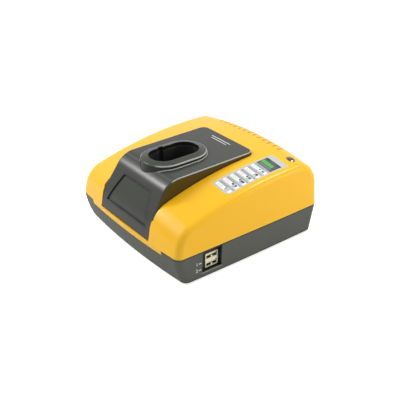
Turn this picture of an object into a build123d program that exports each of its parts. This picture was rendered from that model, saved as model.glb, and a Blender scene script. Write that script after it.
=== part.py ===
from build123d import *
from math import atan2, cos, degrees, radians, sin, sqrt, tan
import os

# Battery charger for power tool packs. All sizes are in millimetres.
# The sloping front with the battery adapter faces -Y, the USB ports face +X, and the feet stand on Z = 0.
# The origin is on the ground, under the middle of the case.

# ---------------------------------------------------------------- driving dimensions
# Case
case_width = 170.0
case_depth = 180.7
front_bulge = 4.4
back_bulge = 1.2
side_bulge = 0.8
corner_radius = 7.0
case_wall = 2.5

# Lower housing
foot_stand = 1.0
lower_height = 29.6
lower_front_rake = 8.6
lower_front_belly = 2.8
lower_side_rake = 0.6
lower_back_rake = 5.6
base_edge_radius = 1.6
step_width = 121.0
step_height = 4.6
lap_height = 2.0
lap_thickness = 1.0
lap_clearance = 0.1
lap_ledge = 0.5

# Upper housing
crest_height = 84.6
crest_from_middle = 55.0
roof_long_radius = 430.0
roof_cross_radius = 450.0
front_lean = 10.0
side_lean = 4.0
back_lean = 2.0
front_bend_radius = 26.0
back_bend_radius = 24.0
vent_count = 13
vent_pitch = 7.5
vent_width = 2.2
vent_depth = 1.2
vent_front = 66.0
vent_foot_height = 40.0
slot_foot_height = 44.0
slot_top_height = 62.0

# Battery adapter
adapter_width = 79.2
adapter_flare_width = 85.8
skirt_width = 82.8
adapter_back = 40.5
adapter_back_height = 85.9
plateau_tilt = 0.75
plateau_front = -63.0
bend_radius = 22.8
rake_angle = 57.4
rake_end_height = 58.5
skirt_foot_height = 31.8
skirt_foot_front = -88.5
shoulder_height = 52.3
flare_top_height = 81.0
adapter_corner_radius = 8.0
adapter_edge_radius = 1.5
adapter_wall = 2.2
adapter_clearance = 0.4
flange_reach = 3.0
flange_thickness = 2.0
flange_gap = 0.1
panel_depth = 1.2
panel_foot_height = 42.8
panel_top_height = 70.3
panel_foot_width = 68.0
panel_top_width = 45.0
panel_corner_radius = 4.0
ear_radius = 4.5
ear_from_edge = 6.0
ear_front = -25.5
ear_back = 18.5
ear_drop = 3.0
adapter_screw_radius = 1.25
adapter_head_radius = 2.6
adapter_head_height = 1.8
screw_cover = 1.0

# Socket
socket_radius = 15.0
socket_straight = 24.0
socket_from_middle = -28.5
collar_radius = 22.6
collar_draft = 8.0
collar_shoulder_radius = 1.8
collar_root_radius = 1.2
collar_foot_height = 76.0
rim_height = 90.6
rim_slope_drop = 1.8
rim_lip = 4.0
key_width = 6.0
key_depth = 3.0
key_from_middle = -33.6
liner_wall = 2.0
liner_floor_height = 32.0
liner_fit = 0.1
sleeve_wall = 2.3
sleeve_foot_height = 66.0

# Contacts
block_height = 5.0
block_fit = 0.2
contact_width = 6.0
contact_from_wall = 2.6
root_thickness = 3.0
root_height = 4.5
root_sunk = 3.0
barrel_radius = 0.9
barrel_clearance = 0.05
strip_thickness = 0.6
leaf_height = 18.0
leaf_bow = 3.0
leaf_bow_height = 12.0
leaf_tip_bow = 1.4
tail_thickness = 0.8
tail_width = 4.0
tail_length = 4.0
tail_clearance = 0.1
lead_radius = 1.0
lead_row_x = 10.0
lead_reach = 29.0
sense_lead_x = 24.0
sense_lead_y = -38.0

# Main board
board_width = 92.0
board_front = -62.0
board_back = 66.0
board_thickness = 1.6
board_post_height = 4.0
board_post_radius = 3.5
board_screw_inset = 6.0
board_screw_radius = 1.25
board_head_radius = 2.6
board_head_height = 1.8
screw_clearance = 0.3
pilot_clearance = 0.05

# Parts on the board
core_width = 36.0
core_depth = 12.0
core_height = 34.0
core_limb = 6.0
core_back = 36.0
winding_clearance = 0.3
winding_build = 6.0
input_can_radius = 11.0
input_can_height = 34.0
input_can_x = -32.0
input_can_y = 22.0
output_can_radius = 6.3
output_can_height = 25.0
output_can_x = 22.0
output_can_y = 46.0
output_can_pitch = 13.6
output_can_count = 2
can_groove = 0.6
choke_radius = 10.0
choke_hole_radius = 4.0
choke_height = 9.0
choke_x = -32.0
choke_y = 46.0
sink_x = 26.5
sink_front = 4.0
sink_length = 30.0
sink_height = 34.0
sink_plate = 3.0
sink_fin_length = 10.0
sink_fin_thickness = 1.6
sink_fin_count = 5
transistor_count = 2
transistor_pitch = 14.0
transistor_width = 10.0
transistor_height = 15.0
transistor_thickness = 4.5
transistor_rise = 7.0
leg_width = 1.0
leg_thickness = 0.6
leg_pitch = 2.54
fuse_radius = 2.6
fuse_length = 20.0
fuse_x = -8.0
fuse_y = 52.0
fuse_rise = 4.6
fuse_clip_width = 5.0
fuse_clip_wall = 0.8
fuse_cap_length = 5.5
fuse_glass_radius = 2.3

# Mains inlet
inlet_x = -24.0
inlet_width = 22.0
inlet_height = 14.0
inlet_depth = 17.0
inlet_face = 89.5
inlet_cavity_radius = 3.9
inlet_pin_pitch = 8.6
inlet_cavity_depth = 12.0
inlet_waist = 5.4
inlet_pin_radius = 1.2
inlet_pin_short = 5.0
inlet_fit = 0.2

# USB ports
pocket_front = -58.7
pocket_back = -35.7
pocket_foot_height = 6.8
pocket_floor_x = 80.0
pocket_roof = 1.2
pocket_wall = 2.0
usb_width = 14.5
usb_height = 14.8
usb_depth = 17.5
usb_middle = -45.1
usb_foot_height = 8.3
usb_proud = 0.8
usb_shell_wall = 0.6
usb_gap = 0.25
port_width = 12.5
port_height = 5.1
port_depth = 9.5
tongue_width = 11.1
tongue_thickness = 1.9
tongue_reach = 8.6
tongue_drop = 0.5
spring_width = 1.8
spring_gap = 0.3
pad_width = 1.2
pad_length = 6.0
pad_thickness = 0.2
pad_count = 4
pad_pitch = 2.2
usb_board_depth = 20.0
usb_board_width = 24.0

# Status light and label
lens_x = 66.0
lens_y = 64.7
lens_width = 10.0
lens_depth = 5.8
lens_dome = 1.2
lens_crown_radius = 11.0
lens_fit = 0.1
lens_flange = 1.5
lens_stem = 1.5
light_board_width = 18.0
light_board_depth = 10.0
light_board_thickness = 1.2
light_board_drop = 12.0
light_radius = 2.5
light_post_radius = 2.0
label_left = 50.7
label_right = 73.8
label_front = -21.4
label_back = 54.0
label_depth = 0.3
label_corner_radius = 5.0
label_small_radius = 1.0

# Case screws and feet
case_screw_x = 52.0
case_screw_front = -64.0
case_screw_back = 66.0
case_boss_radius = 5.6
case_screw_radius = 1.6
case_head_radius = 3.2
case_head_height = 2.4
case_head_seat = 18.0
case_screw_length = 24.0
upper_boss_radius = 4.0
well_clearance = 0.5
foot_radius = 6.0
foot_sunk = 0.8
foot_x = 70.0
foot_front = -66.0
foot_back = 70.0
foot_edge_radius = 0.5

# ---------------------------------------------------------------- worked-out sizes
seam_height = foot_stand + lower_height
step_foot = seam_height - step_height
base_top = foot_stand + case_wall
board_foot = base_top + board_post_height
board_top = board_foot + board_thickness
liner_top = rim_height - rim_lip
liner_outer_radius = socket_radius + liner_wall
sleeve_radius = liner_outer_radius + liner_fit + sleeve_wall
block_top = liner_floor_height + block_height
root_foot = block_top - root_sunk
hinge_height = root_foot + root_height
tail_foot = liner_floor_height - liner_wall - tail_length
flange_inset = case_wall + flange_gap
flange_foot_inset = flange_inset + flange_thickness
ear_x = adapter_width / 2 + ear_from_edge
case_tip_height = case_head_seat + case_screw_length
usb_face = pocket_floor_x + usb_proud
usb_board_top = usb_foot_height
usb_board_foot = usb_board_top - board_thickness
light_board_top = crest_height - light_board_drop
fuse_clip_height = fuse_rise + fuse_radius / 2
core_centre_limb = 2 * core_limb
core_window = (core_width - 2 * core_limb - core_centre_limb) / 2
port_feet = (usb_foot_height + usb_shell_wall, usb_foot_height + usb_height - usb_shell_wall - port_height)

# ---------------------------------------------------------------- places
well_end = socket_straight / 2 + socket_radius - contact_from_wall
contact_places = (Location((0, socket_from_middle + well_end, 0)),
                  Location((0, socket_from_middle - well_end, 0), (0, 0, 180)),
                  Location((socket_radius - contact_from_wall, socket_from_middle, 0), (0, 0, -90)))
board_screw_x = board_width / 2 - board_screw_inset
board_screw_places = [(x, y) for x in (-board_screw_x, board_screw_x)
                      for y in (board_front + board_screw_inset, board_back - board_screw_inset)]
case_screw_places = [(x, y) for x in (-case_screw_x, case_screw_x)
                     for y in (case_screw_front, case_screw_back)]
ear_places = [(x, y) for x in (-ear_x, ear_x) for y in (ear_front, ear_back)]
foot_places = [(x, y) for x in (-foot_x, foot_x) for y in (foot_front, foot_back)]
light_post_reach = light_board_width / 2 - light_post_radius
light_post_places = [(lens_x - light_post_reach, lens_y), (lens_x + light_post_reach, lens_y)]
usb_post_places = [(pocket_floor_x - pocket_wall - usb_board_depth / 2, usb_middle)]
lead_landings = ((lead_row_x, socket_from_middle + lead_reach), (lead_row_x, socket_from_middle - lead_reach),
                 (sense_lead_x, sense_lead_y))


def roof_height(x, y):
    """Height of the roof's outer skin, away from its bends."""
    radius = roof_long_radius - roof_cross_radius + sqrt(roof_cross_radius**2 - x**2)
    return crest_height - roof_long_radius + sqrt(radius**2 - (y - crest_from_middle) ** 2)


def ear_seat(x, y):
    """Height of the flat under an ear of the adapter, where its screw head seats."""
    return roof_height(x, y) - flange_inset - ear_drop


lens_plane = Plane(origin=(lens_x, lens_y, roof_height(lens_x, lens_y)),
                   z_dir=(lens_x / roof_cross_radius, (lens_y - crest_from_middle) / roof_long_radius, 1))


def slot_outline(radius):
    """Plan of the battery socket, or of anything at a constant distance round it."""
    with BuildSketch(Plane.XY) as outline:
        with Locations((0, socket_from_middle)):
            SlotCenterToCenter(socket_straight, 2 * radius, rotation=90)
    return outline.sketch


def keyed_outline(radius, key_reach, width):
    """Plan of the socket with the keyway that stands out on its left side."""
    with BuildSketch(Plane.XY) as outline:
        add(slot_outline(radius))
        with Locations((-key_reach / 2, key_from_middle)):
            Rectangle(key_reach, width)
    return outline.sketch


# ---------------------------------------------------------------- forms shared by several pieces
def case_outline(side_inset, front_inset, back_inset):
    """Plan of the case with its four sides bulged and its corners sharp."""
    half_width = case_width / 2 - side_bulge - side_inset
    front = front_bulge + front_inset - case_depth / 2
    back = case_depth / 2 - back_bulge - back_inset
    with BuildSketch() as outline:
        with BuildLine():
            ThreePointArc((-half_width, front), (0, front - front_bulge), (half_width, front))
            ThreePointArc((half_width, front), (half_width + side_bulge, 0), (half_width, back))
            ThreePointArc((half_width, back), (0, back + back_bulge), (-half_width, back))
            ThreePointArc((-half_width, back), (-half_width - side_bulge, 0), (-half_width, front))
        make_face()
    return outline.sketch


def lower_form(inset):
    """Solid between the base and the seam, everywhere inset from the outer skin of the lower housing."""
    with BuildPart() as form:
        with BuildSketch(Plane.XY.offset(foot_stand + inset)):
            add(case_outline(inset + lower_side_rake, inset + lower_front_rake, inset + lower_back_rake))
        with BuildSketch(Plane.XY.offset(foot_stand + lower_height / 2)):
            add(case_outline(inset + lower_side_rake / 2, inset + lower_front_belly,
                             inset + lower_back_rake / 2))
        with BuildSketch(Plane.XY.offset(seam_height)):
            add(case_outline(inset, inset, inset))
        loft()
        upright = form.edges().filter_by(lambda edge: abs((edge @ 0).Z - (edge @ 1).Z) > lower_height / 2)
        fillet(upright, corner_radius - inset)
        fillet(form.faces().sort_by(Axis.Z)[0].edges(), base_edge_radius)
    return form.part


def at_side(edge, inset):
    """True for an edge above the seam that runs along the left or right side of the case."""
    middle = edge @ 0.5
    return abs(middle.X) > case_width / 2 - inset - 9 and middle.Z > seam_height + 1


def is_top_edge(edge, inset):
    """True for an edge between an end wall and the roof."""
    middle = edge @ 0.5
    return middle.Z > seam_height + 1 and not at_side(edge, inset)


def upper_form(inset):
    """Solid above the seam, everywhere inset from the outer skin of the upper housing."""
    rise = crest_height + 5 - seam_height
    reach = case_width / 2
    cross_radius = roof_cross_radius - inset
    crest = crest_height - inset
    crown_foot = crest + sqrt(cross_radius**2 - reach**2) - cross_radius
    core_foot = crest - 2 * rise
    with BuildPart() as form:
        with BuildSketch(Plane.XY.offset(seam_height)):
            add(case_outline(inset, inset, inset))
        with BuildSketch(Plane.XY.offset(seam_height + rise)):
            add(case_outline(inset + rise * tan(radians(side_lean)), inset + rise * tan(radians(front_lean)),
                             inset + rise * tan(radians(back_lean))))
        loft()
        with BuildSketch(Plane.XZ.offset(-crest_from_middle)):
            with BuildLine():
                ThreePointArc((-reach, crown_foot), (0, crest), (reach, crown_foot))
                Polyline((reach, crown_foot), (reach, core_foot), (-reach, core_foot), (-reach, crown_foot))
            make_face()
        revolve(axis=Axis((0, crest_from_middle, crest_height - roof_long_radius), (1, 0, 0)),
                mode=Mode.INTERSECT)
        for end, radius in ((0, front_bend_radius), (-1, back_bend_radius)):
            end_wall = form.faces().sort_by(Axis.Y)[end]
            fillet(end_wall.edges().filter_by(lambda edge: is_top_edge(edge, inset)), radius - inset)
        fillet(form.edges().filter_by(lambda edge: at_side(edge, inset)), corner_radius - inset)
    return form.part


def adapter_prism(grow):
    """Front outline of the battery adapter, grown by a distance and carried from its back past the front."""
    half_width = adapter_width / 2 + grow
    half_flare = adapter_flare_width / 2 + grow
    half_skirt = skirt_width / 2 + grow
    shoulder = shoulder_height - grow
    skirt_foot = skirt_foot_height - grow
    with BuildPart() as prism:
        with BuildSketch(Plane.XZ.offset(-adapter_back - grow)):
            with BuildLine():
                Polyline((0, rim_height), (half_width, rim_height), (half_width, flare_top_height))
                flare = TangentArc((half_width, flare_top_height), (half_flare, shoulder), tangent=(0, -1))
                Polyline(flare @ 1, (half_skirt, shoulder), (half_skirt, skirt_foot), (0, skirt_foot),
                         (0, rim_height))
            make_face()
            mirror(about=Plane.YZ)
        extrude(amount=case_depth)
        back_wall = prism.faces().sort_by(Axis.Y)[-1]
        corners = back_wall.edges().filter_by(lambda edge: (edge @ 0.5).Z > shoulder_height + 1
                                              and abs((edge @ 0).Z - (edge @ 1).Z) > 1)
        fillet(corners, adapter_corner_radius + grow)
    return prism.part


def adapter_form(grow):
    """Solid with the outer skin of the battery adapter, grown by a distance on all its sides."""
    tilt = radians(plateau_tilt)
    rake = radians(rake_angle)
    back = adapter_back + grow
    back_height = adapter_back_height + grow / cos(tilt)
    nominal_corner = adapter_back_height - (adapter_back - plateau_front) * tan(tilt)
    rake_end_y = plateau_front - (nominal_corner - rake_end_height) / tan(rake) - grow * sin(rake)
    rake_end_z = rake_end_height + grow * cos(rake)
    front_height = back_height - (adapter_back - rake_end_y) * tan(tilt)
    corner_y = rake_end_y + (front_height - rake_end_z) / (tan(rake) - tan(tilt))
    corner_z = back_height - (adapter_back - corner_y) * tan(tilt)
    skirt_front = skirt_foot_front - grow
    with BuildPart() as form:
        with BuildSketch(Plane.YZ):
            with BuildLine():
                top = FilletPolyline((back, back_height), (corner_y, corner_z), (rake_end_y, rake_end_z),
                                     radius=bend_radius + grow)
                skirt = TangentArc(top @ 1, (skirt_front, skirt_foot_height), tangent=top % 1)
                Polyline(skirt @ 1, (skirt_front, 0), (back, 0), (back, back_height))
            make_face()
        extrude(amount=case_width / 2, both=True)
        add(adapter_prism(grow), mode=Mode.INTERSECT)
    return form.part


outer_skin = upper_form(0)
label_bed = upper_form(label_depth)
groove_bed = upper_form(vent_depth)
inner_skin = upper_form(case_wall)
flange_skin = upper_form(flange_inset)
flange_under_skin = upper_form(flange_foot_inset)
lap_skin = upper_form(case_wall + lap_clearance)
lap_under_skin = upper_form(case_wall + lap_clearance + lap_thickness)
adapter_skin = adapter_form(0)
adapter_inner_skin = adapter_form(-adapter_wall)
tub_skin = lower_form(0)
tub_inner_skin = lower_form(case_wall)
tub_rib_skin = lower_form(case_wall + lap_clearance + lap_thickness + lap_ledge)


# ---------------------------------------------------------------- battery adapter
def is_collar_root(edge):
    """True for an edge where the collar stands on the top of the adapter."""
    middle = edge @ 0.5
    beside = abs(middle.X) < collar_radius + adapter_corner_radius / 2 and middle.Y < adapter_back - 1
    level = abs((edge @ 0).Z - (edge @ 1).Z) < 1
    return beside and level and collar_foot_height < middle.Z < adapter_back_height


with BuildPart() as collar:
    with BuildSketch(Plane.XY.offset(rim_height - rim_slope_drop)):
        add(slot_outline(collar_radius))
    extrude(amount=-(rim_height - rim_slope_drop - collar_foot_height), taper=-collar_draft)
    with BuildSketch(Plane.XY.offset(rim_height - rim_slope_drop)):
        add(slot_outline(collar_radius))
    land_width = collar_radius - socket_radius + 1
    land_rise = rim_slope_drop * land_width / (collar_radius - socket_radius)
    extrude(amount=land_rise, taper=degrees(atan2(land_width, land_rise)))
    shoulder = collar.edges().filter_by(lambda edge: abs((edge @ 0.5).Z - rim_height + rim_slope_drop) < 0.01)
    fillet(shoulder, collar_shoulder_radius)

with BuildPart() as cover:
    add(adapter_skin)
    top_faces = [face for face in cover.faces() if face.normal_at().Z > 0.3]
    rim = cover.edges().filter_by(lambda edge: sum(edge in face.edges() for face in top_faces) == 1)
    fillet(rim.filter_by(lambda edge: (edge @ 0.5).Z > shoulder_height), adapter_edge_radius)
    add(collar.part)
    fillet(cover.edges().filter_by(is_collar_root), collar_root_radius)

with BuildPart() as sleeve_keep:
    with BuildSketch(Plane.XY.offset(sleeve_foot_height)):
        add(keyed_outline(sleeve_radius, sleeve_radius + key_depth,
                          key_width + 2 * (sleeve_radius - socket_radius)))
    extrude(amount=rim_height - sleeve_foot_height)

with BuildPart() as panel_cut:
    with BuildSketch(Plane.XZ):
        with BuildLine():
            Polyline((0, panel_foot_height), (panel_foot_width / 2, panel_foot_height),
                     (panel_top_width / 2, panel_top_height), (0, panel_top_height))
            mirror(about=Plane.YZ)
        panel = make_face()
        fillet(panel.vertices().sort_by(Axis.Y)[-2:], panel_corner_radius)
    extrude(amount=case_depth)
    add(adapter_skin - adapter_form(-panel_depth), mode=Mode.INTERSECT)

with BuildPart() as ears:
    for place in ear_places:
        with BuildSketch(Plane.XY.offset(ear_seat(*place))):
            with Locations(place):
                Circle(ear_radius)
        extrude(amount=rim_height - ear_seat(*place))
    add(flange_skin, mode=Mode.INTERSECT)

with BuildPart() as flange:
    add((flange_skin - flange_under_skin) & adapter_form(flange_reach))
    add(ears.part)
    add(adapter_inner_skin, mode=Mode.SUBTRACT)
    with BuildSketch(Plane.XY):
        with Locations(*ear_places):
            Circle(adapter_screw_radius + screw_clearance)
    extrude(amount=rim_height, mode=Mode.SUBTRACT)

with BuildPart() as battery_adapter:
    add(cover.part)
    add(adapter_inner_skin - sleeve_keep.part, mode=Mode.SUBTRACT)
    add(flange_under_skin - sleeve_keep.part, mode=Mode.SUBTRACT)
    add(flange.part)
    with BuildSketch(Plane.XY):
        add(keyed_outline(socket_radius, socket_radius + key_depth, key_width))
    extrude(amount=rim_height + 1, mode=Mode.SUBTRACT)
    with BuildSketch(Plane.XY):
        add(keyed_outline(liner_outer_radius + liner_fit, liner_outer_radius + liner_fit + key_depth,
                          key_width + 2 * (liner_wall + liner_fit)))
    extrude(amount=liner_top, mode=Mode.SUBTRACT)
    add(panel_cut.part, mode=Mode.SUBTRACT)
battery_adapter.part.label = "battery_adapter"


# ---------------------------------------------------------------- socket
with BuildPart() as socket_liner:
    with BuildSketch(Plane.XY.offset(liner_floor_height - liner_wall)):
        add(keyed_outline(liner_outer_radius, liner_outer_radius + key_depth, key_width + 2 * liner_wall))
    extrude(amount=liner_top - liner_floor_height + liner_wall)
    with BuildSketch(Plane.XY.offset(liner_floor_height)):
        add(keyed_outline(socket_radius, socket_radius + key_depth, key_width))
    extrude(amount=rim_height, mode=Mode.SUBTRACT)
    for place in contact_places:
        with BuildSketch(Plane.XY * place):
            Rectangle(tail_width + 2 * tail_clearance, tail_thickness + 2 * tail_clearance)
        extrude(amount=liner_floor_height + 1, mode=Mode.SUBTRACT)
socket_liner.part.label = "socket_liner"

with BuildPart() as terminal_block:
    with BuildSketch(Plane.XY.offset(liner_floor_height)):
        add(slot_outline(socket_radius - block_fit))
    extrude(amount=block_height)
    for place in contact_places:
        with BuildSketch(Plane.XY.offset(root_foot) * place):
            Rectangle(contact_width + 2 * tail_clearance, root_thickness)
        extrude(amount=block_height, mode=Mode.SUBTRACT)
        with BuildSketch(Plane.XY * place):
            Rectangle(tail_width + 2 * tail_clearance, tail_thickness + 2 * tail_clearance)
        extrude(amount=block_top, mode=Mode.SUBTRACT)
terminal_block.part.label = "terminal_block"

with BuildPart() as contact_roots:
    for place in contact_places:
        with BuildSketch(Plane.XY.offset(root_foot) * place):
            Rectangle(contact_width, root_thickness)
        extrude(amount=root_height)
        with BuildSketch(Plane.XY.offset(tail_foot) * place):
            Rectangle(tail_width, tail_thickness)
        extrude(amount=root_foot - tail_foot)
        with BuildSketch(Plane.XY.offset(hinge_height) * place * Location(Plane.YZ)):
            Circle(barrel_radius + barrel_clearance)
        extrude(amount=contact_width, both=True, mode=Mode.SUBTRACT)
contact_roots.part.label = "contact_roots"


def contact_leaf(place):
    """Sprung leaf whose barrel lies in the trough of its root, bowed towards the middle of the socket."""
    with BuildPart() as leaf:
        with BuildSketch(Plane.XY.offset(hinge_height) * place * Location(Plane.YZ)):
            Circle(barrel_radius)
            with BuildLine():
                Spline((0, 0), (-leaf_bow, leaf_bow_height), (-leaf_tip_bow, leaf_height),
                       tangents=((0, 1), (1, 1)))
            trace(line_width=strip_thickness)
        extrude(amount=contact_width / 2, both=True)
    return leaf.part


with BuildPart() as contact_positive:
    add(contact_leaf(contact_places[0]))
contact_positive.part.label = "contact_positive"

with BuildPart() as contact_negative:
    add(contact_leaf(contact_places[1]))
contact_negative.part.label = "contact_negative"

with BuildPart() as contact_sense:
    add(contact_leaf(contact_places[2]))
contact_sense.part.label = "contact_sense"


# ---------------------------------------------------------------- upper housing
with BuildPart() as vents:
    with BuildSketch(Plane.XY.offset(vent_foot_height)):
        with GridLocations(vent_pitch, 0, vent_count, 1):
            with Locations((0, (vent_front + case_depth / 2) / 2)):
                Rectangle(vent_width, case_depth / 2 - vent_front)
    extrude(amount=crest_height)
    add(outer_skin - groove_bed, mode=Mode.INTERSECT)

with BuildPart() as vent_slots:
    with BuildSketch(Plane.XZ.offset(-case_depth / 2)):
        with Locations((0, (slot_foot_height + slot_top_height) / 2)):
            with GridLocations(vent_pitch, 0, vent_count, 1):
                Rectangle(vent_width, slot_top_height - slot_foot_height)
    extrude(amount=back_bend_radius / 2)

with BuildPart() as label_form:
    with BuildSketch(Plane.XY.offset(seam_height)):
        with Locations(((label_left + label_right) / 2, (label_front + label_back) / 2)):
            plate = Rectangle(label_right - label_left, label_back - label_front)
        corner = plate.vertices().group_by(Axis.Y)[0].sort_by(Axis.X)[-1]
        fillet(corner, label_corner_radius)
        fillet(plate.vertices().filter_by(lambda point: point != corner), label_small_radius)
    extrude(amount=crest_height)
    add(outer_skin - label_bed, mode=Mode.INTERSECT)

with BuildPart() as upper_bosses:
    with BuildSketch(Plane.XY.offset(seam_height)):
        with Locations(*case_screw_places):
            Circle(upper_boss_radius)
    extrude(amount=crest_height)
    with BuildSketch(Plane.XY.offset(light_board_top)):
        with Locations(*light_post_places):
            Circle(light_post_radius)
    extrude(amount=crest_height)
    add(groove_bed, mode=Mode.INTERSECT)

with BuildPart() as front_step:
    with BuildSketch(Plane.XY.offset(step_foot)):
        with Locations((0, -case_depth / 2)):
            Rectangle(step_width, case_depth / 2)
    extrude(amount=step_height)
    add(tub_skin - tub_inner_skin, mode=Mode.INTERSECT)

with BuildPart() as upper_housing:
    add(outer_skin)
    add(inner_skin, mode=Mode.SUBTRACT)
    add(upper_bosses.part)
    add(front_step.part)
    add(adapter_prism(adapter_clearance), mode=Mode.SUBTRACT)
    add(vents.part, mode=Mode.SUBTRACT)
    add(vent_slots.part, mode=Mode.SUBTRACT)
    add(label_form.part, mode=Mode.SUBTRACT)
    with BuildSketch(Plane.XY.offset(seam_height)):
        with Locations(*case_screw_places):
            Circle(case_screw_radius + pilot_clearance)
    extrude(amount=case_tip_height + 1 - seam_height, mode=Mode.SUBTRACT)
    with BuildSketch(lens_plane):
        Ellipse(lens_width / 2 + lens_fit, lens_depth / 2 + lens_fit)
    extrude(amount=2 * case_wall, both=True, mode=Mode.SUBTRACT)
    with BuildSketch(lens_plane.offset(-case_wall)):
        Ellipse(lens_width / 2 + lens_flange + lens_fit, lens_depth / 2 + lens_flange + lens_fit)
    extrude(amount=-2 * case_wall, mode=Mode.SUBTRACT)
    for place in ear_places:
        with BuildSketch(Plane.XY.offset(ear_seat(*place))):
            with Locations(place):
                Circle(adapter_screw_radius + pilot_clearance)
        extrude(amount=roof_height(*place) - screw_cover - ear_seat(*place), mode=Mode.SUBTRACT)
upper_housing.part.label = "upper_housing"


# ---------------------------------------------------------------- lower housing
with BuildPart() as seam_rib:
    add(tub_inner_skin - tub_rib_skin)
    with BuildSketch(Plane.XY.offset(step_foot - lap_height)):
        Rectangle(case_width, case_depth)
    extrude(amount=case_width, mode=Mode.INTERSECT)

with BuildPart() as lap_lip:
    with BuildSketch(Plane.XY.offset(seam_height)):
        Rectangle(case_width, case_depth)
        with Locations((0, -case_depth / 2)):
            Rectangle(step_width, case_depth / 2, mode=Mode.SUBTRACT)
        with Locations(*case_screw_places):
            Circle(upper_boss_radius + lap_clearance, mode=Mode.SUBTRACT)
    extrude(amount=lap_height)
    add(lap_skin - lap_under_skin, mode=Mode.INTERSECT)

with BuildPart() as usb_pocket:
    with BuildSketch(Plane.XY.offset(pocket_foot_height - pocket_wall)):
        with Locations((case_width / 2, (pocket_front + pocket_back) / 2)):
            Rectangle(2 * (case_width / 2 - pocket_floor_x + pocket_wall),
                      pocket_back - pocket_front + 2 * pocket_wall)
    extrude(amount=seam_height - pocket_foot_height + pocket_wall)
    add(tub_skin, mode=Mode.INTERSECT)

with BuildPart() as lower_housing:
    add(tub_skin)
    add(tub_inner_skin, mode=Mode.SUBTRACT)
    add(front_step.part, mode=Mode.SUBTRACT)
    add(seam_rib.part)
    add(lap_lip.part)
    add(usb_pocket.part)
    with BuildSketch(Plane.XY.offset(base_top)):
        with Locations(*case_screw_places):
            Circle(case_boss_radius)
    extrude(amount=seam_height - base_top)
    with BuildSketch(Plane.XY.offset(base_top)):
        with Locations(*board_screw_places):
            Circle(board_post_radius)
    extrude(amount=board_post_height)
    with BuildSketch(Plane.XY.offset(base_top)):
        with Locations(*usb_post_places):
            Circle(board_post_radius)
    extrude(amount=usb_board_foot - base_top)
    with BuildSketch(Plane.XY.offset(pocket_foot_height)):
        with Locations((case_width / 2 + pocket_floor_x / 2, (pocket_front + pocket_back) / 2)):
            Rectangle(case_width - pocket_floor_x, pocket_back - pocket_front)
    extrude(amount=seam_height - pocket_roof - pocket_foot_height, mode=Mode.SUBTRACT)
    with BuildSketch(Plane.YZ.offset(pocket_floor_x - 2 * pocket_wall)):
        with Locations((usb_middle, usb_foot_height + usb_height / 2)):
            Rectangle(usb_width + 2 * usb_gap, usb_height + 2 * usb_gap)
    extrude(amount=3 * pocket_wall, mode=Mode.SUBTRACT)
    with BuildSketch(Plane.XZ.offset(-(inlet_face - inlet_depth))):
        with Locations((inlet_x, board_top + inlet_height / 2)):
            Rectangle(inlet_width + 2 * inlet_fit, inlet_height + 2 * inlet_fit)
    extrude(amount=-2 * inlet_depth, mode=Mode.SUBTRACT)
    with BuildSketch(Plane.XY.offset(foot_stand)):
        with Locations(*case_screw_places):
            Circle(case_head_radius + well_clearance)
    extrude(amount=case_head_seat - foot_stand, mode=Mode.SUBTRACT)
    with BuildSketch(Plane.XY.offset(foot_stand)):
        with Locations(*case_screw_places):
            Circle(case_screw_radius + screw_clearance)
    extrude(amount=seam_height, mode=Mode.SUBTRACT)
    with BuildSketch(Plane.XY.offset(foot_stand)):
        with Locations(*foot_places):
            Circle(foot_radius)
    extrude(amount=foot_sunk, mode=Mode.SUBTRACT)
    with BuildSketch(Plane.XY.offset(base_top)):
        with Locations(*board_screw_places):
            Circle(board_screw_radius + pilot_clearance)
    extrude(amount=board_post_height, mode=Mode.SUBTRACT)
lower_housing.part.label = "lower_housing"


# ---------------------------------------------------------------- status label, lens and light
with BuildPart() as status_label:
    add(label_form.part)
status_label.part.label = "status_label"

with BuildPart() as status_lens:
    with BuildSketch(lens_plane):
        Ellipse(lens_width / 2, lens_depth / 2)
    extrude(amount=lens_dome)
    with Locations(lens_plane.offset(lens_dome - lens_crown_radius)):
        Sphere(lens_crown_radius, mode=Mode.INTERSECT)
    with BuildSketch(lens_plane):
        Ellipse(lens_width / 2, lens_depth / 2)
    extrude(amount=-(case_wall + lens_fit))
    with BuildSketch(lens_plane.offset(-case_wall - lens_fit)):
        Ellipse(lens_width / 2 + lens_flange, lens_depth / 2 + lens_flange)
    extrude(amount=-lens_stem)
status_lens.part.label = "status_lens"

with BuildPart() as light_board:
    with BuildSketch(Plane.XY.offset(light_board_top - light_board_thickness)):
        with Locations((lens_x, lens_y)):
            Rectangle(light_board_width, light_board_depth)
    extrude(amount=light_board_thickness)
light_board.part.label = "light_board"

with BuildPart() as status_light:
    with BuildSketch(Plane.XY.offset(light_board_top)):
        with Locations((lens_x, lens_y)):
            Circle(light_radius)
    extrude(amount=light_radius)
    fillet(status_light.faces().sort_by(Axis.Z)[-1].edges(), light_radius * 0.8)
status_light.part.label = "status_light"


# ---------------------------------------------------------------- USB ports
with BuildPart() as usb_shell:
    with BuildSketch(Plane.YZ.offset(usb_face)):
        with Locations((usb_middle, usb_foot_height + usb_height / 2)):
            Rectangle(usb_width, usb_height)
            Rectangle(port_width, usb_height - 2 * usb_shell_wall, mode=Mode.SUBTRACT)
    extrude(amount=-usb_depth)
    with BuildSketch(Plane.YZ.offset(usb_face)):
        with Locations((usb_middle, usb_foot_height + usb_height / 2)):
            Rectangle(port_width, usb_height - 2 * (usb_shell_wall + port_height))
    extrude(amount=-port_depth)
    with BuildSketch(Plane.YZ.offset(usb_face)):
        with Locations(*[(usb_middle, foot) for foot in port_feet]):
            Rectangle(spring_width, port_height - tongue_drop - tongue_thickness - spring_gap,
                      align=(Align.CENTER, Align.MIN))
    extrude(amount=-usb_shell_wall)
usb_shell.part.label = "usb_shell"

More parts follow.
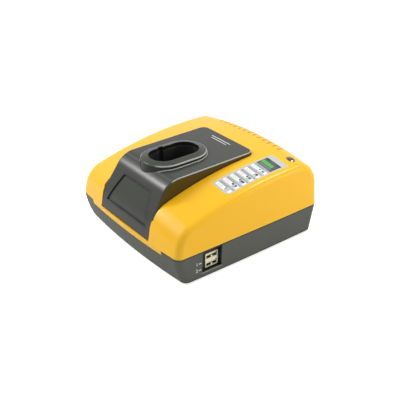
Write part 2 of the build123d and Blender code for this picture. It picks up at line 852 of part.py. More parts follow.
with BuildPart() as usb_insulator:
    with BuildSketch(Plane.YZ.offset(usb_face - port_depth)):
        with Locations((usb_middle, usb_foot_height + usb_height / 2)):
            Rectangle(port_width, usb_height - 2 * usb_shell_wall)
    extrude(amount=-(usb_depth - port_depth))
    with BuildSketch(Plane.YZ.offset(usb_face - port_depth)):
        with Locations(*[(usb_middle, foot + port_height - tongue_drop) for foot in port_feet]):
            Rectangle(tongue_width, tongue_thickness, align=(Align.CENTER, Align.MAX))
    extrude(amount=tongue_reach)
usb_insulator.part.label = "usb_insulator"

with BuildPart() as usb_contacts:
    for foot in port_feet:
        with BuildSketch(Plane.YZ.offset(usb_face - port_depth)):
            with Locations((usb_middle, foot + port_height - tongue_drop - tongue_thickness)):
                with GridLocations(pad_pitch, 0, pad_count, 1):
                    Rectangle(pad_width, pad_thickness, align=(Align.CENTER, Align.MAX))
        extrude(amount=pad_length)
usb_contacts.part.label = "usb_contacts"

with BuildPart() as usb_board:
    with BuildSketch(Plane.XY.offset(usb_board_foot)):
        with Locations((pocket_floor_x - pocket_wall - usb_board_depth / 2 - usb_gap, usb_middle)):
            Rectangle(usb_board_depth, usb_board_width)
    extrude(amount=board_thickness)
usb_board.part.label = "usb_board"


# ---------------------------------------------------------------- main board and what stands on it
with BuildPart() as main_board:
    with BuildSketch(Plane.XY.offset(board_foot)):
        with Locations((0, (board_front + board_back) / 2)):
            Rectangle(board_width, board_back - board_front)
        with Locations(*board_screw_places):
            Circle(board_screw_radius + screw_clearance, mode=Mode.SUBTRACT)
    extrude(amount=board_thickness)
main_board.part.label = "main_board"

with BuildPart() as transformer_core:
    with BuildSketch(Plane.XZ.offset(-core_back)):
        with Locations((0, board_top + core_height / 2)):
            Rectangle(core_width, core_height)
            with GridLocations((core_width - core_limb) / 2 + core_limb / 2, 0, 2, 1):
                Rectangle(core_window, core_height - 2 * core_limb, mode=Mode.SUBTRACT)
    extrude(amount=core_depth)
transformer_core.part.label = "transformer_core"

with BuildPart() as transformer_winding:
    with BuildSketch(Plane.XY.offset(board_top + core_limb + winding_clearance)):
        with Locations((0, core_back - core_depth / 2)):
            Rectangle(core_centre_limb + 2 * winding_build, core_depth + 2 * winding_build)
            Rectangle(core_centre_limb + 2 * winding_clearance, core_depth + 2 * winding_clearance,
                      mode=Mode.SUBTRACT)
    extrude(amount=core_height - 2 * core_limb - 2 * winding_clearance)
    fillet(transformer_winding.edges().filter_by(Axis.Z).group_by(Axis.Y)[0], winding_build / 3)
    fillet(transformer_winding.edges().filter_by(Axis.Z).group_by(Axis.Y)[-1], winding_build / 3)
transformer_winding.part.label = "transformer_winding"


def can(radius, height):
    """Electrolytic capacitor that stands on the board, with its crimp groove."""
    with BuildPart() as body:
        with BuildSketch(Plane.XZ):
            with BuildLine():
                Polyline((radius, radius / 3), (radius, height), (0, height), (0, 0), (radius, 0),
                         (radius, radius / 6), (radius - can_groove, radius / 4), (radius, radius / 3))
            make_face()
        revolve(axis=Axis.Z)
        fillet(body.edges().sort_by(Axis.Z)[-1], can_groove)
    return body.part


with BuildPart() as input_capacitor:
    with Locations((input_can_x, input_can_y, board_top)):
        add(can(input_can_radius, input_can_height))
input_capacitor.part.label = "input_capacitor"

with BuildPart() as output_capacitors:
    for index in range(output_can_count):
        with Locations((output_can_x, output_can_y + index * output_can_pitch, board_top)):
            add(can(output_can_radius, output_can_height))
output_capacitors.part.label = "output_capacitors"

with BuildPart() as choke:
    with BuildSketch(Plane.XY.offset(board_top)):
        with Locations((choke_x, choke_y)):
            Circle(choke_radius)
            Circle(choke_hole_radius, mode=Mode.SUBTRACT)
    extrude(amount=choke_height)
    fillet(choke.edges(), (choke_radius - choke_hole_radius) / 3)
choke.part.label = "choke"

with BuildPart() as heat_sink:
    with BuildSketch(Plane.XY.offset(board_top)):
        with Locations((sink_x, sink_front)):
            Rectangle(sink_plate, sink_length, align=(Align.MIN, Align.MIN))
        fin_pitch = (sink_length - sink_fin_thickness) / (sink_fin_count - 1)
        with Locations((sink_x + sink_plate, sink_front + sink_length / 2)):
            with GridLocations(0, fin_pitch, 1, sink_fin_count):
                Rectangle(sink_fin_length, sink_fin_thickness, align=(Align.MIN, Align.CENTER))
    extrude(amount=sink_height)
heat_sink.part.label = "heat_sink"

with BuildPart() as power_transistors:
    with BuildSketch(Plane.YZ.offset(sink_x)):
        with Locations((sink_front + sink_length / 2, board_top + transistor_rise + transistor_height / 2)):
            with GridLocations(transistor_pitch, 0, transistor_count, 1):
                Rectangle(transistor_width, transistor_height)
    extrude(amount=-transistor_thickness)
    with BuildSketch(Plane.XY.offset(board_top)):
        with Locations((sink_x - transistor_thickness / 2, sink_front + sink_length / 2)):
            with GridLocations(0, transistor_pitch, 1, transistor_count):
                with GridLocations(0, leg_pitch, 1, 3):
                    Rectangle(leg_thickness, leg_width)
    extrude(amount=transistor_rise)
power_transistors.part.label = "power_transistors"

with BuildPart() as fuse:
    with BuildSketch(Plane.XZ.offset(-fuse_y)):
        with Locations((fuse_x, board_top + fuse_rise)):
            Circle(fuse_radius)
    extrude(amount=fuse_length / 2, both=True)
    with BuildSketch(Plane.XZ.offset(-fuse_y)):
        with Locations((fuse_x, board_top + fuse_rise)):
            Circle(fuse_radius)
            Circle(fuse_glass_radius, mode=Mode.SUBTRACT)
    extrude(amount=fuse_length / 2 - fuse_cap_length, both=True, mode=Mode.SUBTRACT)
fuse.part.label = "fuse"

with BuildPart() as fuse_clips:
    with BuildSketch(Plane.XZ.offset(-fuse_y)):
        with Locations((fuse_x, board_top)):
            Rectangle(2 * (fuse_radius + fuse_clip_wall), fuse_clip_height, align=(Align.CENTER, Align.MIN))
        with Locations((fuse_x, board_top + fuse_rise)):
            Circle(fuse_radius + pilot_clearance, mode=Mode.SUBTRACT)
        with Locations((fuse_x, board_top + fuse_rise + fuse_radius / 2)):
            Rectangle(fuse_radius, fuse_radius, mode=Mode.SUBTRACT)
    extrude(amount=fuse_length / 2, both=True)
    with BuildSketch(Plane.XY.offset(board_top)):
        with Locations((fuse_x, fuse_y)):
            Rectangle(2 * fuse_clip_height, fuse_length - 2 * fuse_clip_width)
    extrude(amount=fuse_clip_height, mode=Mode.SUBTRACT)
fuse_clips.part.label = "fuse_clips"


# ---------------------------------------------------------------- mains inlet
with BuildPart() as mains_inlet:
    with BuildSketch(Plane.XZ.offset(-inlet_face)):
        with Locations((inlet_x, board_top + inlet_height / 2)):
            Rectangle(inlet_width, inlet_height)
    extrude(amount=inlet_depth)
    add(tub_skin, mode=Mode.INTERSECT)
    with BuildSketch(Plane.XZ.offset(-inlet_face)):
        with Locations((inlet_x, board_top + inlet_height / 2)):
            Rectangle(inlet_pin_pitch, inlet_waist)
            with GridLocations(inlet_pin_pitch, 0, 2, 1):
                Circle(inlet_cavity_radius)
    extrude(amount=inlet_cavity_depth, mode=Mode.SUBTRACT)
    with BuildSketch(Plane.XZ.offset(-inlet_face)):
        with Locations((inlet_x, board_top + inlet_height / 2)):
            with GridLocations(inlet_pin_pitch, 0, 2, 1):
                Circle(inlet_pin_radius + pilot_clearance)
    extrude(amount=inlet_depth, mode=Mode.SUBTRACT)
mains_inlet.part.label = "mains_inlet"

with BuildPart() as inlet_pins:
    with BuildSketch(Plane.XZ.offset(-(inlet_face - inlet_pin_short))):
        with Locations((inlet_x, board_top + inlet_height / 2)):
            with GridLocations(inlet_pin_pitch, 0, 2, 1):
                Circle(inlet_pin_radius)
    extrude(amount=inlet_depth - inlet_pin_short)
inlet_pins.part.label = "inlet_pins"


# ---------------------------------------------------------------- leads
with BuildPart() as battery_leads:
    for place, landing in zip(contact_places, lead_landings):
        tail_end = Vector(place.position.X, place.position.Y, tail_foot)
        half_way = (tail_foot + board_top) / 2
        with BuildLine() as route:
            FilletPolyline(tail_end, (tail_end.X, tail_end.Y, half_way), (landing[0], landing[1], half_way),
                           (landing[0], landing[1], board_top), radius=3 * lead_radius)
        with BuildSketch(Plane(tail_end, z_dir=(0, 0, -1))):
            Circle(lead_radius)
        sweep(path=route.line)
battery_leads.part.label = "battery_leads"


# ---------------------------------------------------------------- screws and feet
def screws(places, seat, head_radius, head_height, shank_radius, shank_length, upwards):
    """Pan head screws whose heads seat at one height, with shanks that point up or down."""
    heading = 1 if upwards else -1
    with BuildPart() as group:
        with BuildSketch(Plane.XY.offset(seat)):
            with Locations(*places):
                Circle(head_radius)
        extrude(amount=-heading * head_height)
        with BuildSketch(Plane.XY.offset(seat)):
            with Locations(*places):
                Circle(shank_radius)
        extrude(amount=heading * shank_length)
    return group.part


with BuildPart() as case_screws:
    add(screws(case_screw_places, case_head_seat, case_head_radius, case_head_height, case_screw_radius,
               case_screw_length, True))
case_screws.part.label = "case_screws"

with BuildPart() as board_screws:
    add(screws(board_screw_places, board_top, board_head_radius, board_head_height, board_screw_radius,
               board_thickness + board_post_height - pilot_clearance, False))
board_screws.part.label = "board_screws"

with BuildPart() as adapter_screws:
    for place in ear_places:
        reach = roof_height(*place) - screw_cover - pilot_clearance - ear_seat(*place)
        add(screws([place], ear_seat(*place), adapter_head_radius, adapter_head_height, adapter_screw_radius,
                   reach, True))
adapter_screws.part.label = "adapter_screws"

with BuildPart() as rubber_feet:
    with BuildSketch(Plane.XY):
        with Locations(*foot_places):
            Circle(foot_radius)
    extrude(amount=foot_stand + foot_sunk)
    fillet(rubber_feet.faces().group_by(Axis.Z)[0].edges(), foot_edge_radius)
rubber_feet.part.label = "rubber_feet"


os.makedirs("parts", exist_ok=True)
pieces = (upper_housing, lower_housing, battery_adapter, socket_liner, terminal_block, contact_roots,
          contact_positive, contact_negative, contact_sense, status_label, status_lens, light_board,
          status_light, usb_shell, usb_insulator, usb_contacts, usb_board, main_board, transformer_core,
          transformer_winding, input_capacitor, output_capacitors, choke, heat_sink, power_transistors, fuse,
          fuse_clips, mains_inlet, inlet_pins, battery_leads, case_screws, board_screws, adapter_screws,
          rubber_feet)
for piece in pieces:
    export_step(piece.part, f"parts/{piece.part.label}.step")
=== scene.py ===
from math import cos, pi, radians, sin, tau

import bmesh
import bpy
from bpy.props import FloatProperty, FloatVectorProperty, PointerProperty
from bpy.types import Operator, Panel, PropertyGroup
from mathutils import Matrix, Vector


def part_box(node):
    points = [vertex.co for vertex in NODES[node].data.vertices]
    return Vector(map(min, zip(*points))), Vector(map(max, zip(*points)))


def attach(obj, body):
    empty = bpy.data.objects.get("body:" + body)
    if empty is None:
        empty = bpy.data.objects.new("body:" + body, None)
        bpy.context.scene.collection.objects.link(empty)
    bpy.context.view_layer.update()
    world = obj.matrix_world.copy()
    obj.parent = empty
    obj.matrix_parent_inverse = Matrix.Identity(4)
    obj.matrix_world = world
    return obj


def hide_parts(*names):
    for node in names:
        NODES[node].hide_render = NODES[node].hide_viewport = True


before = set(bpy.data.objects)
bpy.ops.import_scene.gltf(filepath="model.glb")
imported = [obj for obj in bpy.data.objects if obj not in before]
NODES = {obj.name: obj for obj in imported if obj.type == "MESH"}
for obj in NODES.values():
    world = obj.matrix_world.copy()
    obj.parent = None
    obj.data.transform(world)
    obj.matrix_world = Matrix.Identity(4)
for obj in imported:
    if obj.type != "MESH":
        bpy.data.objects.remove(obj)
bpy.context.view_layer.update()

bl_info = {
    "name": "Battery charger finish",
    "version": (1, 0, 0),
    "blender": (4, 5, 0),
    "location": "3D View > Sidebar > Charger",
    "description": "Moulded shells, printed label, contacts and stage of a charger for power tool batteries",
    "category": "Object",
}

MM = 0.001
ABOVE_ALL = 0.5
BODY = "charger"

# Tints that the plastics share, and places on the charger that their layers follow
RUBBED_TINT = (0.75, 0.74, 0.70)
DUST_TINT = (0.32, 0.30, 0.27)
# Strength of the painted rim layers: a painted highlight on a lower rim, a painted shade on an upper rim
PAINTED_RIM_STRENGTH = 0.85
SEAM_HEIGHT = 30.6 * MM
TUB_WALL = 84.0 * MM
USB_RECESS_FLOOR = 80.0 * MM
USB_RECESS_FOOT = 6.8 * MM
USB_RECESS_MIDDLE = -47.2 * MM
USB_RECESS_HALF = 11.5 * MM
PANEL_FOOT = 42.8 * MM
PANEL_TOP = 70.3 * MM
PANEL_FOOT_HALF = 34.0 * MM
PANEL_TOP_HALF = 22.5 * MM
PANEL_CORNER = 3.0 * MM
PANEL_REAR = -55.0 * MM
PANEL_FAINT_SIDE = (-30.0 * MM, -14.0 * MM)
COLLAR_FOOT = 68.0 * MM
COLLAR_HALF = 31.0 * MM
RIM_FOOT = 62.0 * MM
BEND_REAR = -57.0 * MM

# Label print, all in millimetres: across from the label's left edge, along from the middle of its first row
LABEL_FRONT_INSET = 4.0
ROW_SHAPES = (  # name, ink, across, along, width, depth
    ("label_cells", "white_ink", 8.6, 0.0, 12.6, 3.9),
    ("label_end_cells", "white_ink", 20.4, 0.4, 2.8, 4.4),
    ("label_halftone", "grey_ink", 8.6, 3.0, 12.4, 1.4),
    ("label_row_lines", "dark_ink", 12.0, 4.4, 19.4, 0.5))
ROW_INKS = ("green_ink", "red_ink", "green_ink", "red_ink", "red_ink", "green_ink")
ROW_MARKS = (  # name, across, along, width, depth, count, step across
    ("label_marks", 4.6, 0.7, 1.2, 0.5, 4, 1.9),
    ("label_underlines", 5.4, -0.6, 2.6, 0.4, 2, 3.4))
SYMBOLS = (  # name, ink, row, across, along, width, depth, round
    ("tick_bar", "dark_ink", 0, 14.6, 0.6, 0.9, 3.0, False),
    ("pair_left", "black_ink", 1, 14.0, 0.9, 2.5, 2.5, True),
    ("pair_right", "black_ink", 1, 18.2, 0.9, 2.5, 2.5, True),
    ("cell_dot", "black_ink", 2, 13.6, 1.0, 2.1, 2.1, True),
    ("cell_body", "dark_ink", 2, 17.4, 1.0, 4.4, 2.4, False),
    ("heat_dot", "black_ink", 3, 13.9, 1.0, 2.1, 2.1, True),
    ("heat_bar", "dark_ink", 3, 17.6, 1.0, 3.0, 2.0, False),
    ("alert", "black_ink", 4, 17.6, 1.0, 2.9, 2.9, True),
    ("fan_left", "black_ink", 5, 12.9, 0.4, 1.9, 1.9, True),
    ("fan_right", "black_ink", 5, 17.4, 0.4, 1.9, 1.9, True))
FIELD_MIDDLE = 57.0
FIELD_SHAPES = (  # name, ink, across, along from the field's middle, width, depth, count, steps, layer
    ("label_field", "dark_ink", 11.5, 0.0, 20.0, 14.8, 1, (0.0, 0.0), 1),
    ("label_green_bar", "green_ink", 9.8, -0.2, 14.6, 4.6, 1, (0.0, 0.0), 2),
    ("label_green_ticks", "dark_ink", 6.2, -0.2, 0.35, 4.6, 3, (3.6, 0.0), 3),
    ("label_field_ends", "black_ink", 4.4, 5.9, 5.0, 2.2, 2, (14.2, 0.0), 2),
    ("label_field_lines", "grey_ink", 11.5, -5.4, 15.0, 0.5, 2, (0.0, 1.4), 2))

# Plain marks and screws
ADAPTER_LINE_MIDDLE = -0.5 * MM
ADAPTER_LINES = (  # name, distance from the adapter's rear end, width, depth
    ("adapter_line_long", 12.6 * MM, 29.0 * MM, 0.75 * MM),
    ("adapter_line_short", 16.0 * MM, 23.0 * MM, 0.65 * MM))
PORT_NUMBERS = (("1", 10.2 * MM), ("2", 3.0 * MM))  # number, height over the foot of the port shell
PORT_NUMBER_SIZE = 5.0 * MM
PORT_NUMBER_REACH = 12.4 * MM
PORT_LINE_REACH = 8.8 * MM
PORT_LINE_SIZE = (2.8 * MM, 0.8 * MM)
SCREW_SIDES = 32
SCREWS = (  # node, head radius, head height, shank radius, heads up
    ("case_screws", 3.2 * MM, 2.4 * MM, 1.6 * MM, False),
    ("board_screws", 2.6 * MM, 1.8 * MM, 1.25 * MM, True))

# Stage
LAMP_TARGET = (0.0, 0.0, 0.04)
FLOOR_RADIUS = 6.0
FLOOR_GLOW = 0.62
FLOOR_GLOW_IN_GLOSS = 0.3


# ---------------------------------------------------------------- settings that a user would change
def length(name, description, default):
    """Length property in metres."""
    return FloatProperty(name=name, description=description, default=default, min=0.0, unit="LENGTH",
                         precision=5)


def share(name, description, default, top=1.0):
    """Plain factor property."""
    return FloatProperty(name=name, description=description, default=default, min=0.0, max=top,
                         subtype="FACTOR")


def power(name, description, default):
    """Lamp power in watts."""
    return FloatProperty(name=name, description=description, default=default, min=0.0, subtype="POWER")


def angle(name, description, degrees):
    """Angle property, kept in radians."""
    return FloatProperty(name=name, description=description, default=radians(degrees), subtype="ANGLE")


def paint(name, description, default):
    """Colour property in linear values."""
    return FloatVectorProperty(name=name, description=description, default=default, subtype="COLOR", size=3,
                               min=0.0, max=1.0)


class ChargerColours(PropertyGroup):
    """Colours of the charger's finishes."""
    yellow: paint("Yellow shell", "Moulded upper housing", (0.92, 0.50, 0.012))
    tub: paint("Tub", "Moulded lower housing", (0.094, 0.099, 0.083))
    adapter: paint("Adapter", "Moulded cover round the battery socket", (0.037, 0.040, 0.033))
    black: paint("Socket black", "Liner, contact block and mains inlet", (0.026, 0.026, 0.027))
    film: paint("Label film", "Ground of the status label", (0.50, 0.53, 0.54))
    ink_white: paint("White ink", "Cells of the status label", (0.88, 0.88, 0.87))
    ink_dark: paint("Dark ink", "Dark field of the label", (0.060, 0.065, 0.065))
    ink_black: paint("Black ink", "Pictograms of the label", (0.008, 0.008, 0.009))
    ink_grey: paint("Grey ink", "Halftone fields of the label", (0.30, 0.32, 0.33))
    ink_green: paint("Green ink", "Bar and marks for a full battery", (0.060, 0.46, 0.060))
    ink_red: paint("Red ink", "Marks for a charging battery", (0.72, 0.16, 0.13))
    lens: paint("Status lens", "Tinted window of the status light", (0.09, 0.045, 0.075))
    cream: paint("Port tongue", "Insulator of the USB ports", (0.88, 0.83, 0.55))
    nickel: paint("Port shell", "Plated shell of the USB ports", (0.88, 0.84, 0.60))
    contact: paint("Contact metal", "Sprung contacts of the socket", (0.72, 0.56, 0.30))
    rubber: paint("Rubber", "Feet", (0.018, 0.018, 0.019))


class ChargerSizes(PropertyGroup):
    """Sizes of what is printed or fitted on the charger."""
    print_thickness: length("Print thickness", "Ink on the label film", 0.04 * MM)
    cell_pitch: length("Cell pitch", "Distance between the label's rows", 8.75 * MM)
    edge_rounding: length("Edge rounding", "Soft radius on moulded edges", 0.8 * MM)
    recess_width: length("Recess width", "Slot width of a cross recess", 0.9 * MM)
    recess_depth: length("Recess depth", "Depth of a cross recess", 1.3 * MM)


class ChargerStage(PropertyGroup):
    """Camera and lamps."""
    lens: FloatProperty(name="Lens", description="Focal length in millimetres", default=64.06, min=10.0)
    azimuth: angle("Azimuth", "Camera turned from the front", 52.447)
    elevation: angle("Elevation", "Camera above the horizon", 29.364)
    place: FloatVectorProperty(name="Place", description="Camera position", subtype="TRANSLATION", size=3,
                               default=(0.51008, -0.38868, 0.38739))
    key: power("Key", "Large soft lamp at the front left", 7.6)
    band: power("Band", "Narrow lamp that draws the gloss on the adapter's bend", 2.8)
    crest: power("Crest", "Small lamp over the rear", 5.2)
    side: power("Side", "Lamp at the rear right, left out of gloss", 2.3)
    glint: power("Glint", "Small lamp that draws the gloss on the side bend", 0.42)
    sky: share("Sky", "Light from all round", 0.42, 4.0)


# ---------------------------------------------------------------- node tree helpers
def add_node(tree, kind, inputs=None, **settings):
    """Node with its settings, whose inputs are values or the sockets that feed them."""
    node = tree.nodes.new(kind)
    for key, value in settings.items():
        setattr(node, key, value)
    for key, value in (inputs or {}).items():
        if isinstance(value, bpy.types.NodeSocket):
            tree.links.new(value, node.inputs[key])
        else:
            node.inputs[key].default_value = value
    return node


def feed(tree, node, sources):
    """Links each source to the input of a node that it is named for."""
    for key, source in sources.items():
        tree.links.new(source, node.inputs[key])


def calculate(tree, operation, first, second=0.0, third=0.0, clamp=False):
    """Result of a Math node."""
    node = add_node(tree, "ShaderNodeMath", {0: first, 1: second, 2: third}, operation=operation,
                    use_clamp=clamp)
    return node.outputs[0]


def product(tree, *factors):
    """Product of several masks or values."""
    result = factors[0]
    for factor in factors[1:]:
        result = calculate(tree, "MULTIPLY", result, factor)
    return result


def distance(tree, value, mark):
    """How far a value is from a mark."""
    return calculate(tree, "ABSOLUTE", calculate(tree, "SUBTRACT", value, mark))


def axes(tree, vector):
    """X, Y and Z of a vector."""
    parts = add_node(tree, "ShaderNodeSeparateXYZ", {0: vector})
    return parts.outputs["X"], parts.outputs["Y"], parts.outputs["Z"]


def span(tree, value, low, high, to_low=0.0, to_high=1.0):
    """Value mapped from one range to another and clamped."""
    node = add_node(tree, "ShaderNodeMapRange", {"Value": value, "From Min": low, "From Max": high,
                                                 "To Min": to_low, "To Max": to_high})
    return node.outputs["Result"]


def noise(tree, vector, scale, detail):
    """Level of a noise, with its scale in grains per metre."""
    node = add_node(tree, "ShaderNodeTexNoise", {"Vector": vector, "Scale": scale, "Detail": detail})
    return node.outputs[0]


def blend_colours(tree, factor, first, second, blend="MIX"):
    """Result of a colour Mix node."""
    node = tree.nodes.new("ShaderNodeMix")
    node.data_type = "RGBA"
    node.blend_type = blend
    for index, value in ((0, factor), (6, first), (7, second)):
        if isinstance(value, bpy.types.NodeSocket):
            tree.links.new(value, node.inputs[index])
        elif index == 0:
            node.inputs[index].default_value = value
        else:
            node.inputs[index].default_value = (*value[:3], 1.0)
    return node.outputs[2]


def bumped(tree, height, strength, depth, **more):
    """Normal with a height pressed into it."""
    return add_node(tree, "ShaderNodeBump", {"Height": height, "Strength": strength, "Distance": depth,
                                             **more}).outputs[0]


def new_group(name, kind, inputs, outputs):
    """Empty node group with named sockets, its input node and its output node."""
    group = bpy.data.node_groups.new(name, kind)
    for key, socket_type, default in inputs:
        socket = group.interface.new_socket(key, in_out="INPUT", socket_type=socket_type)
        if default is not None:
            socket.default_value = default
    for key, socket_type in outputs:
        group.interface.new_socket(key, in_out="OUTPUT", socket_type=socket_type)
    return group, group.nodes.new("NodeGroupInput"), group.nodes.new("NodeGroupOutput")


# ---------------------------------------------------------------- effects that several materials share
def moulded_grain_group():
    """Eroded mould texture: colour that drifts a little, uneven gloss and a fine grain to bump with."""
    group, entry, leave = new_group(
        "moulded_grain", "ShaderNodeTree",
        [("Vector", "NodeSocketVector", None), ("Colour", "NodeSocketColor", (0.5, 0.5, 0.5, 1.0)),
         ("Grains per metre", "NodeSocketFloat", 2500.0), ("Drift", "NodeSocketFloat", 0.05),
         ("Gloss spread", "NodeSocketFloat", 0.04), ("Base roughness", "NodeSocketFloat", 0.4)],
        [("Colour", "NodeSocketColor"), ("Roughness", "NodeSocketFloat"), ("Height", "NodeSocketFloat")])
    vector = entry.outputs["Vector"]
    fineness = entry.outputs["Grains per metre"]
    cloud = noise(group, vector, 22.0, 3.0)
    patch = noise(group, vector, 140.0, 4.0)
    grain = noise(group, vector, fineness, 2.0)
    pits = add_node(group, "ShaderNodeTexVoronoi", {"Vector": vector, "Scale": fineness})
    both = calculate(group, "ADD", cloud, patch)
    drift = product(group, calculate(group, "SUBTRACT", both, 1.0), entry.outputs["Drift"])
    shade = calculate(group, "ADD", 1.0, drift)
    tinted = blend_colours(group, 1.0, entry.outputs["Colour"], shade, "MULTIPLY")
    uneven = product(group, calculate(group, "SUBTRACT", cloud, 0.5), entry.outputs["Gloss spread"])
    rough = calculate(group, "ADD", entry.outputs["Base roughness"], uneven, clamp=True)
    height = calculate(group, "ADD", product(group, grain, 0.7),
                       product(group, pits.outputs["Distance"], 0.3))
    feed(group, leave, {"Colour": tinted, "Roughness": rough, "Height": height})
    return group


def soft_edge_group():
    """Rounded look of moulded edges, with masks for rubbed edges, both rims (painted highlight on lower rims,
    painted shade on upper rims), dust and painted shade in deep corners.
    """
    group, entry, leave = new_group(
        "soft_edges", "ShaderNodeTree",
        [("Vector", "NodeSocketVector", None), ("Rounding", "NodeSocketFloat", 0.0004),
         ("Reach", "NodeSocketFloat", 0.004)],
        [("Normal", "NodeSocketVector"), ("Rubbed", "NodeSocketFloat"), ("Upper rim", "NodeSocketFloat"),
         ("Lower rim", "NodeSocketFloat"), ("Dust", "NodeSocketFloat"), ("Crevice", "NodeSocketFloat")])
    facing = group.nodes.new("ShaderNodeNewGeometry").outputs["Normal"]
    rounded = add_node(group, "ShaderNodeBevel", {"Radius": entry.outputs["Rounding"]}, samples=8).outputs[0]
    turn = add_node(group, "ShaderNodeVectorMath", {0: facing, 1: rounded}, operation="DOT_PRODUCT")
    lean = add_node(group, "ShaderNodeVectorMath", {0: rounded, 1: facing}, operation="SUBTRACT")
    upright = axes(group, lean.outputs[0])[2]
    speckle = noise(group, entry.outputs["Vector"], 320.0, 4.0)
    edge = span(group, turn.outputs["Value"], 0.995, 0.86)
    rubbed = calculate(group, "MULTIPLY", edge, span(group, speckle, 0.42, 0.62), clamp=True)
    open_sky = add_node(group, "ShaderNodeAmbientOcclusion", {"Distance": entry.outputs["Reach"]}, samples=8)
    # Painted shade in hollows and deep corners, from the occlusion
    crevice_shade = span(group, open_sky.outputs["AO"], 0.88, 0.30)
    dust = calculate(group, "MULTIPLY", span(group, open_sky.outputs["AO"], 0.85, 0.35),
                     span(group, speckle, 0.38, 0.66), clamp=True)
    feed(group, leave, {"Normal": rounded, "Rubbed": rubbed, "Dust": dust, "Crevice": crevice_shade,
                        "Upper rim": span(group, upright, 0.04, 0.22),
                        "Lower rim": span(group, upright, -0.04, -0.22)})
    return group


def drawn_metal_group():
    """Fine drawn lines of rolled or plated metal, as roughness, a light tint and a height."""
    group, entry, leave = new_group(
        "drawn_metal", "ShaderNodeTree",
        [("Vector", "NodeSocketVector", None), ("Colour", "NodeSocketColor", (0.6, 0.6, 0.6, 1.0)),
         ("Base roughness", "NodeSocketFloat", 0.3)],
        [("Colour", "NodeSocketColor"), ("Roughness", "NodeSocketFloat"), ("Height", "NodeSocketFloat")])
    vector = entry.outputs["Vector"]
    drawn = add_node(group, "ShaderNodeMapping", {"Vector": vector, "Scale": (1.0, 14.0, 1.0)})
    lines = noise(group, drawn.outputs[0], 900.0, 3.0)
    bloom = noise(group, vector, 260.0, 4.0)
    shade = span(group, bloom, 0.3, 0.7, 0.86, 1.08)
    tinted = blend_colours(group, 1.0, entry.outputs["Colour"], shade, "MULTIPLY")
    uneven = span(group, lines, 0.3, 0.7, -0.08, 0.10)
    rough = calculate(group, "ADD", entry.outputs["Base roughness"], uneven, clamp=True)
    feed(group, leave, {"Colour": tinted, "Roughness": rough, "Height": lines})
    return group


def shared_group(name):
    """Shader group by name, built the first time that a material asks for it."""
    makers = {"moulded_grain": moulded_grain_group, "soft_edges": soft_edge_group,
              "drawn_metal": drawn_metal_group}
    return bpy.data.node_groups.get(name) or makers[name]()


# ---------------------------------------------------------------- materials
def start_material(name):
    """Material with an empty tree, its Principled shader and the object's own coordinates."""
    material = bpy.data.materials.new(name + "_finish")
    material.use_nodes = True
    tree = material.node_tree
    tree.nodes.clear()
    out = tree.nodes.new("ShaderNodeOutputMaterial")
    shader = tree.nodes.new("ShaderNodeBsdfPrincipled")
    tree.links.new(shader.outputs[0], out.inputs["Surface"])
    coordinates = tree.nodes.new("ShaderNodeTexCoord").outputs["Object"]
    return material, tree, shader, coordinates


def darker(colour, share_left):
    """Colour with a share of its light left."""
    return tuple(part * share_left for part in colour)


def place_group(tree, name, inputs):
    """Shared group placed in a material with its own values."""
    node = add_node(tree, "ShaderNodeGroup", node_tree=shared_group(name), name=name)
    for key, value in inputs.items():
        if isinstance(value, bpy.types.NodeSocket):
            tree.links.new(value, node.inputs[key])
        elif key == "Colour":
            node.inputs[key].default_value = (*value, 1.0)
        else:
            node.inputs[key].default_value = value
    return node


def moulded_plastic(name, colour, roughness, grains=2500.0, grain_depth=0.02, drift=0.05, dust=0.25,
                    rubbed=0.12, dust_colour=DUST_TINT, rounding=None, reach=4.0 * MM, crevice_shade=0.5,
                    upper_rim_shade=None, lower_rim_highlight=None, crevice_shade_colour=None, specular=0.3):
    """Injection moulded plastic: fine grain, soft edges, painted shade in corners and hollows, a little dust,
    rubbed edges, and a painted shade on an upper rim and a painted highlight on a lower rim where asked.
    """
    material, tree, shader, coordinates = start_material(name)
    rounding = rounding or bpy.context.scene.charger_sizes.edge_rounding
    grain = place_group(tree, "moulded_grain", {"Vector": coordinates, "Colour": colour, "Drift": drift,
                                                "Grains per metre": grains, "Base roughness": roughness})
    edges = place_group(tree, "soft_edges", {"Vector": coordinates, "Rounding": rounding, "Reach": reach})
    mixed = grain.outputs["Colour"]
    layers = [("Rubbed", rubbed, RUBBED_TINT), ("Dust", dust, dust_colour),
              ("Crevice", crevice_shade, crevice_shade_colour or darker(colour, 0.12))]
    for key, rim in (("Upper rim", upper_rim_shade), ("Lower rim", lower_rim_highlight)):
        if rim:
            layers.append((key, PAINTED_RIM_STRENGTH, rim))
    for key, amount, tint in layers:
        mixed = blend_colours(tree, product(tree, edges.outputs[key], amount), mixed, tint)
    feed(tree, shader, {"Base Color": mixed, "Roughness": grain.outputs["Roughness"],
                        "Normal": bumped(tree, grain.outputs["Height"], 0.35, grain_depth * MM,
                                         Normal=edges.outputs["Normal"])})
    shader.inputs["Specular IOR Level"].default_value = specular
    return material


def reopen(material):
    """Tree, shader, base colour so far and object coordinates of a plastic that gets more layers."""
    tree = material.node_tree
    shader = tree.nodes["Principled BSDF"]
    lit = shader.inputs["Base Color"].links[0].from_socket
    return tree, shader, lit, tree.nodes["Texture Coordinate"].outputs["Object"]


